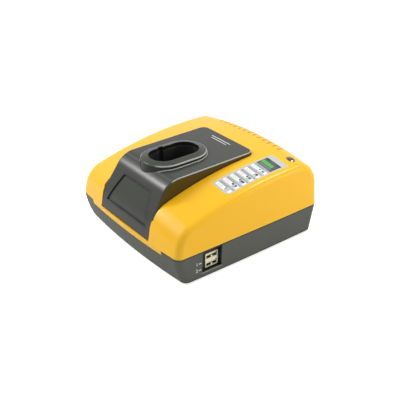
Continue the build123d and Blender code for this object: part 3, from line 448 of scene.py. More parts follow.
def tub_plastic(name, colour):
    """Tub moulding with a thin painted shadow under the seam, painted shade in the USB recess and a painted
    highlight on the recess's lip.
    """
    material = moulded_plastic(name, colour, roughness=0.50, grains=2100.0, dust=0.12, rubbed=0.22,
                               rounding=1.1 * MM, reach=7.0 * MM, crevice_shade=0.9,
                               upper_rim_shade=(0.012, 0.012, 0.011), specular=0.2)
    tree, shader, lit, coordinates = reopen(material)
    across, along, height = axes(tree, coordinates)
    # Painted shadow under the seam: a thin dark band on the tub
    seam_shadow = span(tree, height, SEAM_HEIGHT - 1.5 * MM, SEAM_HEIGHT - 0.6 * MM, 0.0, 0.85)
    recess = product(tree, span(tree, across, USB_RECESS_FLOOR - 3.0 * MM, USB_RECESS_FLOOR - 1.5 * MM),
                     span(tree, height, USB_RECESS_FOOT - 2.8 * MM, USB_RECESS_FOOT - 1.3 * MM),
                     span(tree, distance(tree, along, USB_RECESS_MIDDLE), USB_RECESS_HALF + 0.7 * MM,
                          USB_RECESS_HALF + 0.1 * MM))
    # Painted shade inside the USB recess
    recess_shade = product(tree, recess, span(tree, across, TUB_WALL - 0.4 * MM, TUB_WALL - 1.6 * MM, 0.0, 0.7))
    # Painted highlight along the recess's lip
    from_lip = distance(tree, height, USB_RECESS_FOOT - 0.2 * MM)
    lip_highlight = product(tree, recess, span(tree, from_lip, 0.9 * MM, 0.3 * MM),
                  span(tree, across, TUB_WALL - 1.0 * MM, TUB_WALL - 0.2 * MM, 0.0, 0.6))
    shaded = blend_colours(tree, calculate(tree, "MAXIMUM", seam_shadow, recess_shade), lit, darker(colour, 0.12))
    tree.links.new(blend_colours(tree, lip_highlight, shaded, (0.42, 0.43, 0.38)), shader.inputs["Base Color"])
    return material


def panel_border_shade(tree, across, along, height):
    """Painted shade: a soft dark mask round the adapter's sunk front panel, fainter on its left."""
    side_lean, slope_stretch = 0.94, 1.2
    half = span(tree, height, PANEL_FOOT, PANEL_TOP, PANEL_FOOT_HALF, PANEL_TOP_HALF)
    from_axis = calculate(tree, "ABSOLUTE", across)
    to_side = product(tree, calculate(tree, "SUBTRACT", half, from_axis), side_lean)
    to_top = product(tree, calculate(tree, "SUBTRACT", PANEL_TOP, height), slope_stretch)
    to_foot = product(tree, calculate(tree, "SUBTRACT", height, PANEL_FOOT), slope_stretch)
    ends = calculate(tree, "SMOOTH_MIN", to_top, to_foot, PANEL_CORNER)
    inward = calculate(tree, "SMOOTH_MIN", ends, to_side, PANEL_CORNER)
    return product(tree, span(tree, distance(tree, inward, 0.3 * MM), 2.9 * MM, 0.2 * MM, 0.0, 0.85),
                   span(tree, along, PANEL_REAR, PANEL_REAR - 3.0 * MM),
                   span(tree, across, *PANEL_FAINT_SIDE, 0.15, 1.0))


def adapter_plastic(name, colour):
    """Adapter moulding: painted highlights on its rims, painted shade on the collar walls, a painted warm
    reflection of the yellow shell on its flanks, and painted shade round the panel and in the gap below.
    """
    material = moulded_plastic(name, colour, roughness=0.28, grains=2400.0, grain_depth=0.005, drift=0.04,
                               dust=0.10, rubbed=0.10, rounding=1.0 * MM, reach=5.0 * MM, crevice_shade=0.85)
    tree, shader, lit, coordinates = reopen(material)
    across, along, height = axes(tree, coordinates)
    from_axis = calculate(tree, "ABSOLUTE", across)
    sideways, _, upwards = axes(tree, tree.nodes.new("ShaderNodeNewGeometry").outputs["Normal"])
    # Painted reflection: warm tint of the yellow shell on the side faces
    flank_reflection = product(tree, span(tree, calculate(tree, "ABSOLUTE", sideways), 0.80, 0.95),
                     span(tree, from_axis, COLLAR_HALF - 1.0 * MM, COLLAR_HALF + 2.0 * MM))
    # Painted shade on the collar's walls
    collar_wall_shade = product(tree, span(tree, calculate(tree, "ABSOLUTE", upwards), 0.45, 0.20, 0.0, 0.8),
                    span(tree, height, COLLAR_FOOT, COLLAR_FOOT + 4.0 * MM),
                    span(tree, from_axis, COLLAR_HALF, COLLAR_HALF - 3.0 * MM))
    # Painted highlight on the rims of the plateau and the collar
    rim_highlight = product(tree, span(tree, upwards, 0.96, 0.80), span(tree, upwards, 0.25, 0.50),
                   span(tree, height, RIM_FOOT, RIM_FOOT + 4.0 * MM),
                   span(tree, along, BEND_REAR - 3.0 * MM, BEND_REAR), 0.8)
    # Painted shade in the gap between the adapter and the yellow shell
    gap = place_group(tree, "soft_edges", {"Vector": coordinates, "Rounding": 0.1 * MM, "Reach": 2.6 * MM})
    gap_shade = calculate(tree, "MULTIPLY", gap.outputs["Crevice"], 1.7, clamp=True)
    for mask, tint in ((flank_reflection, (0.062, 0.043, 0.007)), (collar_wall_shade, (0.005, 0.005, 0.005)),
                       (rim_highlight, (0.50, 0.51, 0.46)),
                       (panel_border_shade(tree, across, along, height), darker(colour, 0.15)),
                       (gap_shade, (0.002, 0.002, 0.002))):
        lit = blend_colours(tree, mask, lit, tint)
    tree.links.new(lit, shader.inputs["Base Color"])
    rough = shader.inputs["Roughness"].links[0].from_socket
    tree.links.new(calculate(tree, "MULTIPLY_ADD", gap_shade, 0.6, rough, clamp=True), shader.inputs["Roughness"])
    return material


def sunk_plastic(name, colour, mouth, depth):
    """Moulding or shell whose mouth faces +X, with painted shade that gets darker with depth behind it."""
    material = moulded_plastic(name, colour, roughness=0.42, grains=3000.0, grain_depth=0.010, drift=0.04,
                               dust=0.2, rubbed=0.1, rounding=0.2 * MM, reach=3.0 * MM, crevice_shade=0.9)
    tree, shader, lit, coordinates = reopen(material)
    # Painted shade, darker deeper behind the mouth
    depth_shade = span(tree, axes(tree, coordinates)[0], mouth - 0.2 * MM, mouth - depth)
    tree.links.new(blend_colours(tree, depth_shade, lit, darker(colour, 0.02)), shader.inputs["Base Color"])
    return material


def plated_metal(name, colour, roughness):
    """Rolled and plated metal with drawn lines and softened edges."""
    material, tree, shader, coordinates = start_material(name)
    drawn = place_group(tree, "drawn_metal", {"Vector": coordinates, "Colour": colour,
                                              "Base roughness": roughness})
    edges = place_group(tree, "soft_edges", {"Vector": coordinates, "Rounding": 0.12 * MM})
    # Darker in hollows, where the occlusion finds nearby surfaces
    darker_in_hollows = blend_colours(tree, product(tree, edges.outputs["Dust"], 0.5), drawn.outputs["Colour"],
                         (0.10, 0.09, 0.07))
    feed(tree, shader, {"Base Color": darker_in_hollows, "Roughness": drawn.outputs["Roughness"],
                        "Normal": bumped(tree, drawn.outputs["Height"], 0.2, 0.01 * MM,
                                         Normal=edges.outputs["Normal"])})
    shader.inputs["Metallic"].default_value = 1.0
    return material


def printed_ink(name, colour, roughness=0.42):
    """Screen printed ink with a slightly uneven coat."""
    material, tree, shader, coordinates = start_material(name)
    grain = place_group(tree, "moulded_grain", {"Vector": coordinates, "Colour": colour, "Drift": 0.07,
                                                "Grains per metre": 5200.0, "Base roughness": roughness})
    feed(tree, shader, {"Base Color": grain.outputs["Colour"], "Roughness": grain.outputs["Roughness"],
                        "Normal": bumped(tree, grain.outputs["Height"], 0.15, 0.01 * MM)})
    return material


def tinted_lens(name, colour):
    """Polished tinted window with faint flow marks."""
    material, tree, shader, coordinates = start_material(name)
    flow = noise(tree, coordinates, 180.0, 2.0)
    tint = blend_colours(tree, span(tree, flow, 0.35, 0.65), darker(colour, 0.55), colour)
    feed(tree, shader, {"Base Color": tint, "Roughness": span(tree, flow, 0.3, 0.7, 0.05, 0.12),
                        "Normal": bumped(tree, flow, 0.08, 0.05 * MM)})
    shader.inputs["Coat Weight"].default_value = 0.6
    shader.inputs["Coat Roughness"].default_value = 0.04
    return material


def circuit_board(name):
    """Green solder mask over copper tracks, with bare pads."""
    material, tree, shader, coordinates = start_material(name)
    tracks = add_node(tree, "ShaderNodeTexBrick",
                      {"Vector": coordinates, "Scale": 150.0, "Mortar Size": 0.03,
                       "Color1": (0.02, 0.16, 0.05, 1.0), "Color2": (0.018, 0.13, 0.045, 1.0),
                       "Mortar": (0.05, 0.27, 0.09, 1.0)})
    pads = add_node(tree, "ShaderNodeTexVoronoi", {"Vector": coordinates, "Scale": 170.0, "Randomness": 0.25})
    pad = span(tree, pads.outputs["Distance"], 0.20, 0.17)
    colour = blend_colours(tree, pad, tracks.outputs["Color"], (0.55, 0.55, 0.52))
    feed(tree, shader, {"Base Color": colour, "Roughness": span(tree, pad, 0.0, 1.0, 0.36, 0.25),
                        "Metallic": pad, "Normal": bumped(tree, tracks.outputs["Fac"], 0.3, 0.03 * MM)})
    return material


def sleeved_can(name):
    """Shrink sleeve of a capacitor with a pale polarity stripe and a bare scored top."""
    material, tree, shader, coordinates = start_material(name)
    sideways, _, upwards = axes(tree, tree.nodes.new("ShaderNodeNewGeometry").outputs["Normal"])
    stripe = span(tree, sideways, -0.955, -0.965)
    top = span(tree, upwards, 0.80, 0.85)
    grain = place_group(tree, "moulded_grain", {"Vector": coordinates, "Colour": (0.02, 0.03, 0.10),
                                                "Base roughness": 0.3})
    striped = blend_colours(tree, stripe, grain.outputs["Colour"], (0.45, 0.47, 0.52))
    feed(tree, shader, {"Base Color": blend_colours(tree, top, striped, (0.70, 0.71, 0.72)), "Metallic": top,
                        "Roughness": grain.outputs["Roughness"]})
    return material


def fuse_tube(name):
    """Glass tube between two plated caps."""
    material, tree, shader, coordinates = start_material(name)
    low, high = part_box("fuse")
    middle = (low.y + high.y) / 2
    cap = span(tree, distance(tree, axes(tree, coordinates)[1], middle), 4.4 * MM, 4.6 * MM)
    drawn = place_group(tree, "drawn_metal", {"Vector": coordinates, "Colour": (0.75, 0.75, 0.73),
                                              "Base roughness": 0.25})
    feed(tree, shader, {"Base Color": blend_colours(tree, cap, (0.62, 0.68, 0.66), drawn.outputs["Colour"]),
                        "Metallic": cap, "Roughness": drawn.outputs["Roughness"]})
    return material


def wound_tape(name, colour, turns_per_metre):
    """Tape or wire wound in layers, seen as fine level rings."""
    material, tree, shader, coordinates = start_material(name)
    rings = add_node(tree, "ShaderNodeTexWave", {"Vector": coordinates, "Scale": turns_per_metre,
                                                 "Distortion": 0.6, "Detail": 2.0},
                     bands_direction="Z").outputs["Fac"]
    feed(tree, shader, {"Base Color": blend_colours(tree, rings, darker(colour, 0.6), colour),
                        "Roughness": span(tree, rings, 0.0, 1.0, 0.45, 0.32),
                        "Normal": bumped(tree, rings, 0.5, 0.08 * MM)})
    return material


def floor_finish(name):
    """Pale floor that reads white to the camera and in gloss, and still takes the charger's shadow."""
    material, tree, shader, coordinates = start_material(name)
    fleck = noise(tree, coordinates, 6.0, 2.0)
    pale = blend_colours(tree, fleck, (0.80, 0.80, 0.80), (0.84, 0.84, 0.84))
    feed(tree, shader, {"Base Color": pale})
    shader.inputs["Roughness"].default_value = 0.9
    shader.inputs["Specular IOR Level"].default_value = 0.1
    rays = tree.nodes.new("ShaderNodeLightPath")
    seen = calculate(tree, "MAXIMUM", rays.outputs["Is Camera Ray"],
                     calculate(tree, "MAXIMUM", rays.outputs["Is Transmission Ray"],
                               product(tree, rays.outputs["Is Glossy Ray"], FLOOR_GLOW_IN_GLOSS)))
    glow = add_node(tree, "ShaderNodeEmission", {"Color": (1.0, 1.0, 1.0, 1.0),
                                                 "Strength": product(tree, seen, FLOOR_GLOW)})
    both = add_node(tree, "ShaderNodeAddShader", {0: shader.outputs[0], 1: glow.outputs[0]})
    tree.links.new(both.outputs[0], tree.nodes["Material Output"].inputs["Surface"])
    return material


def get_material(name):
    """Material by name, made the first time that a piece asks for it."""
    colours = bpy.context.scene.charger_colours
    port_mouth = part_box("usb_shell")[1].x
    recipes = {
        # Yellow: painted highlight on the lower rim, painted shade in crevices in a deep orange; its dust
        # colour is a darker yellow, so that layer darkens hollows
        "yellow_shell": (moulded_plastic, dict(
            colour=colours.yellow, roughness=0.24, grains=2600.0, grain_depth=0.003, drift=0.010, dust=0.15,
            rubbed=0.06, dust_colour=(0.40, 0.24, 0.03), crevice_shade=0.35, lower_rim_highlight=(0.98, 0.68, 0.08),
            crevice_shade_colour=(0.55, 0.24, 0.004), specular=0.32)),
        "tub_shell": (tub_plastic, dict(colour=colours.tub)),
        "adapter_shell": (adapter_plastic, dict(colour=colours.adapter)),
        "socket_black": (moulded_plastic, dict(colour=colours.black, roughness=0.45, grains=2200.0, dust=0.10,
                                               rubbed=0.08)),
        "label_film": (printed_ink, dict(colour=colours.film, roughness=0.36)),
        "white_ink": (printed_ink, dict(colour=colours.ink_white)),
        "dark_ink": (printed_ink, dict(colour=colours.ink_dark)),
        "black_ink": (printed_ink, dict(colour=colours.ink_black)),
        "grey_ink": (printed_ink, dict(colour=colours.ink_grey)),
        "green_ink": (printed_ink, dict(colour=colours.ink_green)),
        "red_ink": (printed_ink, dict(colour=colours.ink_red)),
        "status_lens": (tinted_lens, dict(colour=colours.lens)),
        "status_light": (tinted_lens, dict(colour=(0.55, 0.56, 0.54))),
        "port_tongue": (sunk_plastic, dict(colour=colours.cream, mouth=port_mouth, depth=7.0 * MM)),
        "port_shell": (sunk_plastic, dict(colour=colours.nickel, mouth=port_mouth, depth=2.2 * MM)),
        "gold_pad": (plated_metal, dict(colour=(0.80, 0.58, 0.20), roughness=0.25)),
        "contact_metal": (plated_metal, dict(colour=colours.contact, roughness=0.28)),
        "inlet_pin": (plated_metal, dict(colour=(0.78, 0.70, 0.50), roughness=0.25)),
        "screw_steel": (plated_metal, dict(colour=(0.55, 0.55, 0.54), roughness=0.32)),
        "sink_aluminium": (plated_metal, dict(colour=(0.72, 0.73, 0.75), roughness=0.38)),
        "circuit_board": (circuit_board, {}),
        "sleeved_can": (sleeved_can, {}),
        "fuse_tube": (fuse_tube, {}),
        "winding_tape": (wound_tape, dict(colour=(0.72, 0.55, 0.10), turns_per_metre=220.0)),
        "choke_wire": (wound_tape, dict(colour=(0.50, 0.20, 0.06), turns_per_metre=900.0)),
        "ferrite": (moulded_plastic, dict(colour=(0.045, 0.046, 0.050), roughness=0.62, grains=1600.0,
                                          grain_depth=0.05, drift=0.12)),
        "epoxy_black": (moulded_plastic, dict(colour=(0.016, 0.016, 0.017), roughness=0.5, grains=3000.0)),
        "lead_sleeve": (moulded_plastic, dict(colour=(0.45, 0.03, 0.03), roughness=0.42, grains=1800.0,
                                              grain_depth=0.01)),
        "foot_rubber": (moulded_plastic, dict(colour=colours.rubber, roughness=0.8, grains=1500.0,
                                              grain_depth=0.05, drift=0.08, dust=0.5, rubbed=0.2)),
        "floor": (floor_finish, {}),
    }
    maker, values = recipes[name]
    return bpy.data.materials.get(name + "_finish") or maker(name, **values)


# ---------------------------------------------------------------- piece helpers
def finish_nodes(finishes):
    """Gives carried-over nodes their finishes."""
    for node, material_name in finishes.items():
        materials = NODES[node].data.materials
        if not materials:
            materials.append(get_material(material_name))
        for index in range(len(materials)):
            materials[index] = get_material(material_name)


def link_object(name, data):
    """Object for a mesh, a text, a lamp or a camera, linked to the scene."""
    made = bpy.data.objects.new(name, data)
    bpy.context.scene.collection.objects.link(made)
    return made


def plain_mesh(carrier):
    """Plain mesh of a text, or of an object with its modifiers."""
    graph = bpy.context.evaluated_depsgraph_get()
    return bpy.data.meshes.new_from_object(carrier.evaluated_get(graph))


def add_piece(name, mesh, material_name, body=BODY, smooth_angle=35.0):
    """Object for a finished mesh, with its material, its body and the slot that it takes its finish from."""
    mesh.materials.clear()
    mesh.materials.append(get_material(material_name))
    mesh.polygons.foreach_set("material_index", [0] * len(mesh.polygons))
    mesh.shade_smooth()
    mesh.set_sharp_from_angle(angle=radians(smooth_angle))
    piece = link_object(name, mesh)
    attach(piece, body)
    return piece


def mesh_from(name, build):
    """Mesh whose faces a bmesh function makes, with its normals outwards."""
    shape = bmesh.new()
    build(shape)
    bmesh.ops.recalc_face_normals(shape, faces=shape.faces)
    mesh = bpy.data.meshes.new(name)
    shape.to_mesh(mesh)
    shape.free()
    return mesh


def run_nodes(name, group, values):
    """Plain mesh that a geometry tree makes from its inputs."""
    carrier = link_object(name, bpy.data.meshes.new(name))
    modifier = carrier.modifiers.new("Nodes", "NODES")
    modifier.node_group = group
    for item in group.interface.items_tree:
        if item.item_type == "SOCKET" and item.in_out == "INPUT" and item.name in values:
            modifier[item.identifier] = values[item.name]
    mesh = plain_mesh(carrier)
    carrier.modifiers.remove(modifier)
    bpy.data.objects.remove(carrier)
    return mesh


# ---------------------------------------------------------------- geometry trees
def printed_row_tree():
    """Tree that lays a row of printed plates or dots on a curved surface below them."""
    group, entry, leave = new_group(
        "printed_row", "GeometryNodeTree",
        [("Surface", "NodeSocketObject", None), ("Count", "NodeSocketInt", 6),
         ("Start", "NodeSocketVector", None), ("Step", "NodeSocketVector", None),
         ("Size", "NodeSocketVector", (0.01, 0.004, 0.0001)), ("Round", "NodeSocketBool", False),
         ("Ink", "NodeSocketMaterial", None)],
        [("Geometry", "NodeSocketGeometry")])
    width, _, thickness = axes(group, entry.outputs["Size"])
    plate = add_node(group, "GeometryNodeMeshCube", {"Size": entry.outputs["Size"], "Vertices X": 9,
                                                     "Vertices Y": 5, "Vertices Z": 2})
    dot = add_node(group, "GeometryNodeMeshCylinder",
                   {"Vertices": 24, "Radius": product(group, width, 0.5), "Depth": thickness})
    shape = add_node(group, "GeometryNodeSwitch",
                     {"Switch": entry.outputs["Round"], "False": plate.outputs["Mesh"],
                      "True": dot.outputs["Mesh"]}, input_type="GEOMETRY")
    line = add_node(group, "GeometryNodeMeshLine", {"Count": entry.outputs["Count"],
                                                    "Start Location": entry.outputs["Start"],
                                                    "Offset": entry.outputs["Step"]})
    copies = add_node(group, "GeometryNodeInstanceOnPoints", {"Points": line.outputs["Mesh"],
                                                              "Instance": shape.outputs["Output"]})
    real = add_node(group, "GeometryNodeRealizeInstances", {"Geometry": copies.outputs["Instances"]})
    across, along, height = axes(group, group.nodes.new("GeometryNodeInputPosition").outputs[0])
    above = add_node(group, "ShaderNodeCombineXYZ", {"X": across, "Y": along, "Z": ABOVE_ALL})
    surface = add_node(group, "GeometryNodeObjectInfo", {"Object": entry.outputs["Surface"]})
    drop = add_node(group, "GeometryNodeRaycast", {"Target Geometry": surface.outputs["Geometry"],
                                                   "Source Position": above.outputs[0],
                                                   "Ray Direction": (0.0, 0.0, -1.0), "Ray Length": 1.0})
    lifted = calculate(group, "ADD", axes(group, drop.outputs["Hit Position"])[2], height)
    laid = add_node(group, "ShaderNodeCombineXYZ", {"X": across, "Y": along, "Z": lifted})
    moved = add_node(group, "GeometryNodeSetPosition", {"Geometry": real.outputs[0],
                                                        "Position": laid.outputs[0]})
    inked = add_node(group, "GeometryNodeSetMaterial", {"Geometry": moved.outputs[0],
                                                        "Material": entry.outputs["Ink"]})
    feed(group, leave, {"Geometry": inked.outputs[0]})
    return group


def repeated_piece_tree():
    """Tree that sets one finished part at each corner of a rectangle, at one height."""
    group, entry, leave = new_group(
        "repeated_piece", "GeometryNodeTree",
        [("Part", "NodeSocketObject", None), ("Centre", "NodeSocketVector", None),
         ("Spread X", "NodeSocketFloat", 0.1), ("Spread Y", "NodeSocketFloat", 0.1),
         ("Turn", "NodeSocketVector", None), ("Finish", "NodeSocketMaterial", None)],
        [("Geometry", "NodeSocketGeometry")])
    corners = add_node(group, "GeometryNodeMeshGrid", {"Size X": entry.outputs["Spread X"],
                                                       "Size Y": entry.outputs["Spread Y"],
                                                       "Vertices X": 2, "Vertices Y": 2})
    centred = add_node(group, "GeometryNodeTransform", {"Geometry": corners.outputs["Mesh"],
                                                        "Translation": entry.outputs["Centre"]})
    part = add_node(group, "GeometryNodeObjectInfo", {"Object": entry.outputs["Part"]})
    copies = add_node(group, "GeometryNodeInstanceOnPoints", {"Points": centred.outputs[0],
                                                              "Instance": part.outputs["Geometry"]})
    turned = add_node(group, "GeometryNodeRotateInstances", {"Instances": copies.outputs[0],
                                                             "Rotation": entry.outputs["Turn"]})
    real = add_node(group, "GeometryNodeRealizeInstances", {"Geometry": turned.outputs[0]})
    done = add_node(group, "GeometryNodeSetMaterial", {"Geometry": real.outputs[0],
                                                       "Material": entry.outputs["Finish"]})
    feed(group, leave, {"Geometry": done.outputs[0]})
    return group


def geometry_tree(name):
    """Geometry tree by name, built the first time that it is asked for."""
    makers = {"printed_row": printed_row_tree, "repeated_piece": repeated_piece_tree}
    return bpy.data.node_groups.get(name) or makers[name]()


# ---------------------------------------------------------------- label print
def print_row(name, surface, ink, slot_name, start, size, count=1, step=(0.0, 0.0), dots=False, layer=1):
    """Row of printed plates or dots on a node, each layer of ink lying on the one below."""
    ink_depth = bpy.context.scene.charger_sizes.print_thickness
    lift = (layer - 0.5) * ink_depth
    mesh = run_nodes(name, geometry_tree("printed_row"),
                     {"Surface": NODES[surface], "Count": count, "Start": (start[0], start[1], lift),
                      "Step": (step[0], step[1], 0.0), "Size": (size[0], size[1], ink_depth), "Round": dots,
                      "Ink": get_material(ink)})
    return add_piece(name, mesh, ink)


class CHARGER_OT_label_print(Operator):
    """Print the status label's cells, pictograms and dark field."""
    bl_idname = "charger.label_print"
    bl_label = "Label print"

    def execute(self, context):
        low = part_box("status_label")[0]
        front = low.y + LABEL_FRONT_INSET * MM
        pitch = context.scene.charger_sizes.cell_pitch / MM

        def row(name, ink, across, along, width, depth, step=(0.0, 0.0), **more):
            print_row(name, "status_label", ink, "label_film", (low.x + across * MM, front + along * MM),
                      (width * MM, depth * MM), step=(step[0] * MM, step[1] * MM), **more)

        for shape in ROW_SHAPES:
            row(*shape, count=len(ROW_INKS), step=(0.0, pitch))
        for index, ink in enumerate(ROW_INKS):
            for name, across, along, width, depth, count, step in ROW_MARKS:
                row(f"{name}_{index + 1}", ink, across, index * pitch + along, width, depth, count=count,
                    step=(step, 0.0), layer=2)
        for name, ink, index, across, along, width, depth, dots in SYMBOLS:
            row(f"label_{name}", ink, across, along + index * pitch, width, depth, dots=dots, layer=2)
        for name, ink, across, along, width, depth, count, step, layer in FIELD_SHAPES:
            row(name, ink, across, FIELD_MIDDLE + along, width, depth, count=count, step=step, layer=layer)
        return {"FINISHED"}


class CHARGER_OT_plain_marks(Operator):
    """Print the plain lines on the adapter and the port numbers beside the USB ports."""
    bl_idname = "charger.plain_marks"
    bl_label = "Plain marks"

    def execute(self, context):
        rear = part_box("battery_adapter")[1].y
        for name, inset, width, depth in ADAPTER_LINES:
            print_row(name, "battery_adapter", "white_ink", "adapter_plastic",
                      (ADAPTER_LINE_MIDDLE, rear - inset), (width, depth))
        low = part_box("usb_shell")[0]
        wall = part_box("lower_housing")[1].x
        for number, height in PORT_NUMBERS:
            self.port_number(number, wall, low.y, low.z + height)
        return {"FINISHED"}

    def port_number(self, number, wall, port_edge, height):
        """One number on the tub, with a short plain line between it and its port."""
        upright = Matrix.Rotation(pi / 2, 4, "Z") @ Matrix.Rotation(pi / 2, 4, "X")
        text = bpy.data.curves.new(f"port_number_{number}", "FONT")
        text.body = number
        text.size = PORT_NUMBER_SIZE
        text.align_x = "CENTER"
        text.align_y = "CENTER"
        carrier = link_object(text.name, text)
        figure = plain_mesh(carrier)
        bpy.data.objects.remove(carrier)
        figure.transform(Matrix.Translation((wall, port_edge - PORT_NUMBER_REACH, height)) @ upright)
        line = mesh_from(f"port_line_{number}", lambda shape: bmesh.ops.create_grid(
            shape, x_segments=1, y_segments=1, size=0.5,
            matrix=Matrix.Translation((wall, port_edge - PORT_LINE_REACH, height)) @ upright
            @ Matrix.Diagonal((*PORT_LINE_SIZE, 1.0, 1.0))))
        for name, flat in ((f"port_number_{number}", figure), (line.name, line)):
            add_piece(name, self.laid_on_tub(flat), "white_ink")

    def laid_on_tub(self, flat):
        """Closed skin of ink with a flat shape's outline, pressed onto the tub's side wall."""
        tub = NODES["lower_housing"]
        ink = bpy.context.scene.charger_sizes.print_thickness

        def build(shape):
            shape.from_mesh(flat)
            for vertex in shape.verts:
                outside = vertex.co + Vector((0.05, 0.0, 0.0))
                found, place, _, _ = tub.ray_cast(outside, Vector((-1.0, 0.0, 0.0)))
                vertex.co.x = place.x if found else vertex.co.x
            raised = bmesh.ops.extrude_face_region(shape, geom=shape.faces[:])["geom"]
            for vertex in (part for part in raised if isinstance(part, bmesh.types.BMVert)):
                vertex.co.x += ink

        return mesh_from(flat.name, build)


# ---------------------------------------------------------------- screws
def cross_screw(name, head_radius, head_height, shank_radius, shank_length):
    """Pan head screw with a cross recess, head down at the origin and shank up."""
    sizes = bpy.context.scene.charger_sizes

    def profile(shape):
        crown = [(head_radius * cos(a), -head_height * sin(a)) for a in (0.0, 0.35, 0.7, 1.05, 1.3)]
        ring = [(0.0, -head_height), *reversed(crown), (head_radius, -0.02 * MM), (shank_radius, 0.0),
                (shank_radius, shank_length - shank_radius), (0.0, shank_length)]
        points = [shape.verts.new((x, 0.0, z)) for x, z in ring]
        edges = [shape.edges.new(pair) for pair in zip(points, points[1:])]
        bmesh.ops.spin(shape, geom=points + edges, cent=(0, 0, 0), axis=(0, 0, 1), steps=SCREW_SIDES,
                       angle=tau)
        bmesh.ops.remove_doubles(shape, verts=shape.verts, dist=1e-6)

    def cross(shape):
        slot = (head_radius * 1.1, sizes.recess_width)
        for sides in (slot, slot[::-1]):
            made = bmesh.ops.create_cube(shape, size=1.0)["verts"]
            bmesh.ops.scale(shape, verts=made, vec=(*sides, 2 * sizes.recess_depth))
            bmesh.ops.translate(shape, verts=made, vec=(0.0, 0.0, -head_height))

    body = link_object(name, mesh_from(name, profile))
    cutter = link_object(name + "_cutter", mesh_from(name + "_cutter", cross))
    cut = body.modifiers.new("Recess", "BOOLEAN")
    cut.object = cutter
    cut.solver = "EXACT"
    cut.use_self = True
    mesh = plain_mesh(body)
    bpy.data.objects.remove(cutter)
    body.modifiers.clear()
    body.data = mesh
    return body


class CHARGER_OT_screws(Operator):
    """Fit the case screws and board screws with their cross recesses."""
    bl_idname = "charger.screws"
    bl_label = "Screws"

    def execute(self, context):
        for screw in SCREWS:
            self.fit(*screw)
        return {"FINISHED"}

    def fit(self, node, head_radius, head_height, shank_radius, heads_up):
        """Screws in the corners of a node's box, in place of that node."""
        low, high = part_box(node)
        part = cross_screw(node + "_part", head_radius, head_height, shank_radius,
                           high.z - low.z - head_height)
        seat = high.z - head_height if heads_up else low.z + head_height
        mesh = run_nodes(node + "_detailed", geometry_tree("repeated_piece"),
                         {"Part": part, "Centre": ((low.x + high.x) / 2, (low.y + high.y) / 2, seat),
                          "Spread X": high.x - low.x - 2 * head_radius,
                          "Spread Y": high.y - low.y - 2 * head_radius,
                          "Turn": (pi if heads_up else 0.0, 0.0, 0.0), "Finish": get_material("screw_steel")})
        bpy.data.objects.remove(part)
        piece = add_piece(node + "_detailed", mesh, "screw_steel")
        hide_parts(node)


# ---------------------------------------------------------------- finishes of the carried-over nodes
class CHARGER_OT_shells(Operator):
    """Finish the moulded shells, the adapter and the socket."""
    bl_idname = "charger.shells"
    bl_label = "Shells"

    def execute(self, context):
        finish_nodes({"upper_housing": "yellow_shell", "lower_housing": "tub_shell",
                      "battery_adapter": "adapter_shell", "socket_liner": "socket_black",
                      "terminal_block": "socket_black", "mains_inlet": "socket_black",
                      "rubber_feet": "foot_rubber"})
        return {"FINISHED"}


class CHARGER_OT_contacts(Operator):
    """Finish the contacts, the ports and the mains pins."""
    bl_idname = "charger.contacts"
    bl_label = "Contacts and ports"

    def execute(self, context):
        finish_nodes({"contact_positive": "contact_metal", "contact_negative": "contact_metal",
                      "contact_sense": "contact_metal", "contact_roots": "contact_metal",
                      "usb_shell": "port_shell", "usb_insulator": "port_tongue", "usb_contacts": "gold_pad",
                      "inlet_pins": "inlet_pin"})
        return {"FINISHED"}


class CHARGER_OT_status(Operator):
    """Finish the label film, the status lens and its light."""
    bl_idname = "charger.status"
    bl_label = "Label and light"

    def execute(self, context):
        finish_nodes({"status_label": "label_film", "status_lens": "status_lens",
                      "status_light": "status_light", "light_board": "circuit_board"})
        return {"FINISHED"}


class CHARGER_OT_electronics(Operator):
    """Finish the boards and what stands on them."""
    bl_idname = "charger.electronics"
    bl_label = "Electronics"

    def execute(self, context):
        finish_nodes({"main_board": "circuit_board", "usb_board": "circuit_board",
                      "transformer_core": "ferrite", "transformer_winding": "winding_tape",
                      "input_capacitor": "sleeved_can", "output_capacitors": "sleeved_can",
                      "choke": "choke_wire", "heat_sink": "sink_aluminium",
                      "power_transistors": "epoxy_black", "fuse": "fuse_tube", "fuse_clips": "inlet_pin",
                      "battery_leads": "lead_sleeve", "adapter_screws": "screw_steel"})
        return {"FINISHED"}


# ---------------------------------------------------------------- stage
def aim(thing, place, target):
    """Puts a lamp or camera at a place, looking at a target."""
    thing.location = place
    thing.rotation_mode = "QUATERNION"
    thing.rotation_quaternion = (Vector(target) - Vector(place)).to_track_quat("-Z", "Y")


def soft_lamp(name, place, width, height, watts, in_gloss):
    """Rectangular area lamp that looks at the charger's middle."""
    data = bpy.data.lights.new(name, "AREA")
    data.shape = "RECTANGLE"
    data.size = width
    data.size_y = height
    data.energy = watts
    lamp = link_object(name, data)
    lamp.visible_glossy = in_gloss
    aim(lamp, place, LAMP_TARGET)


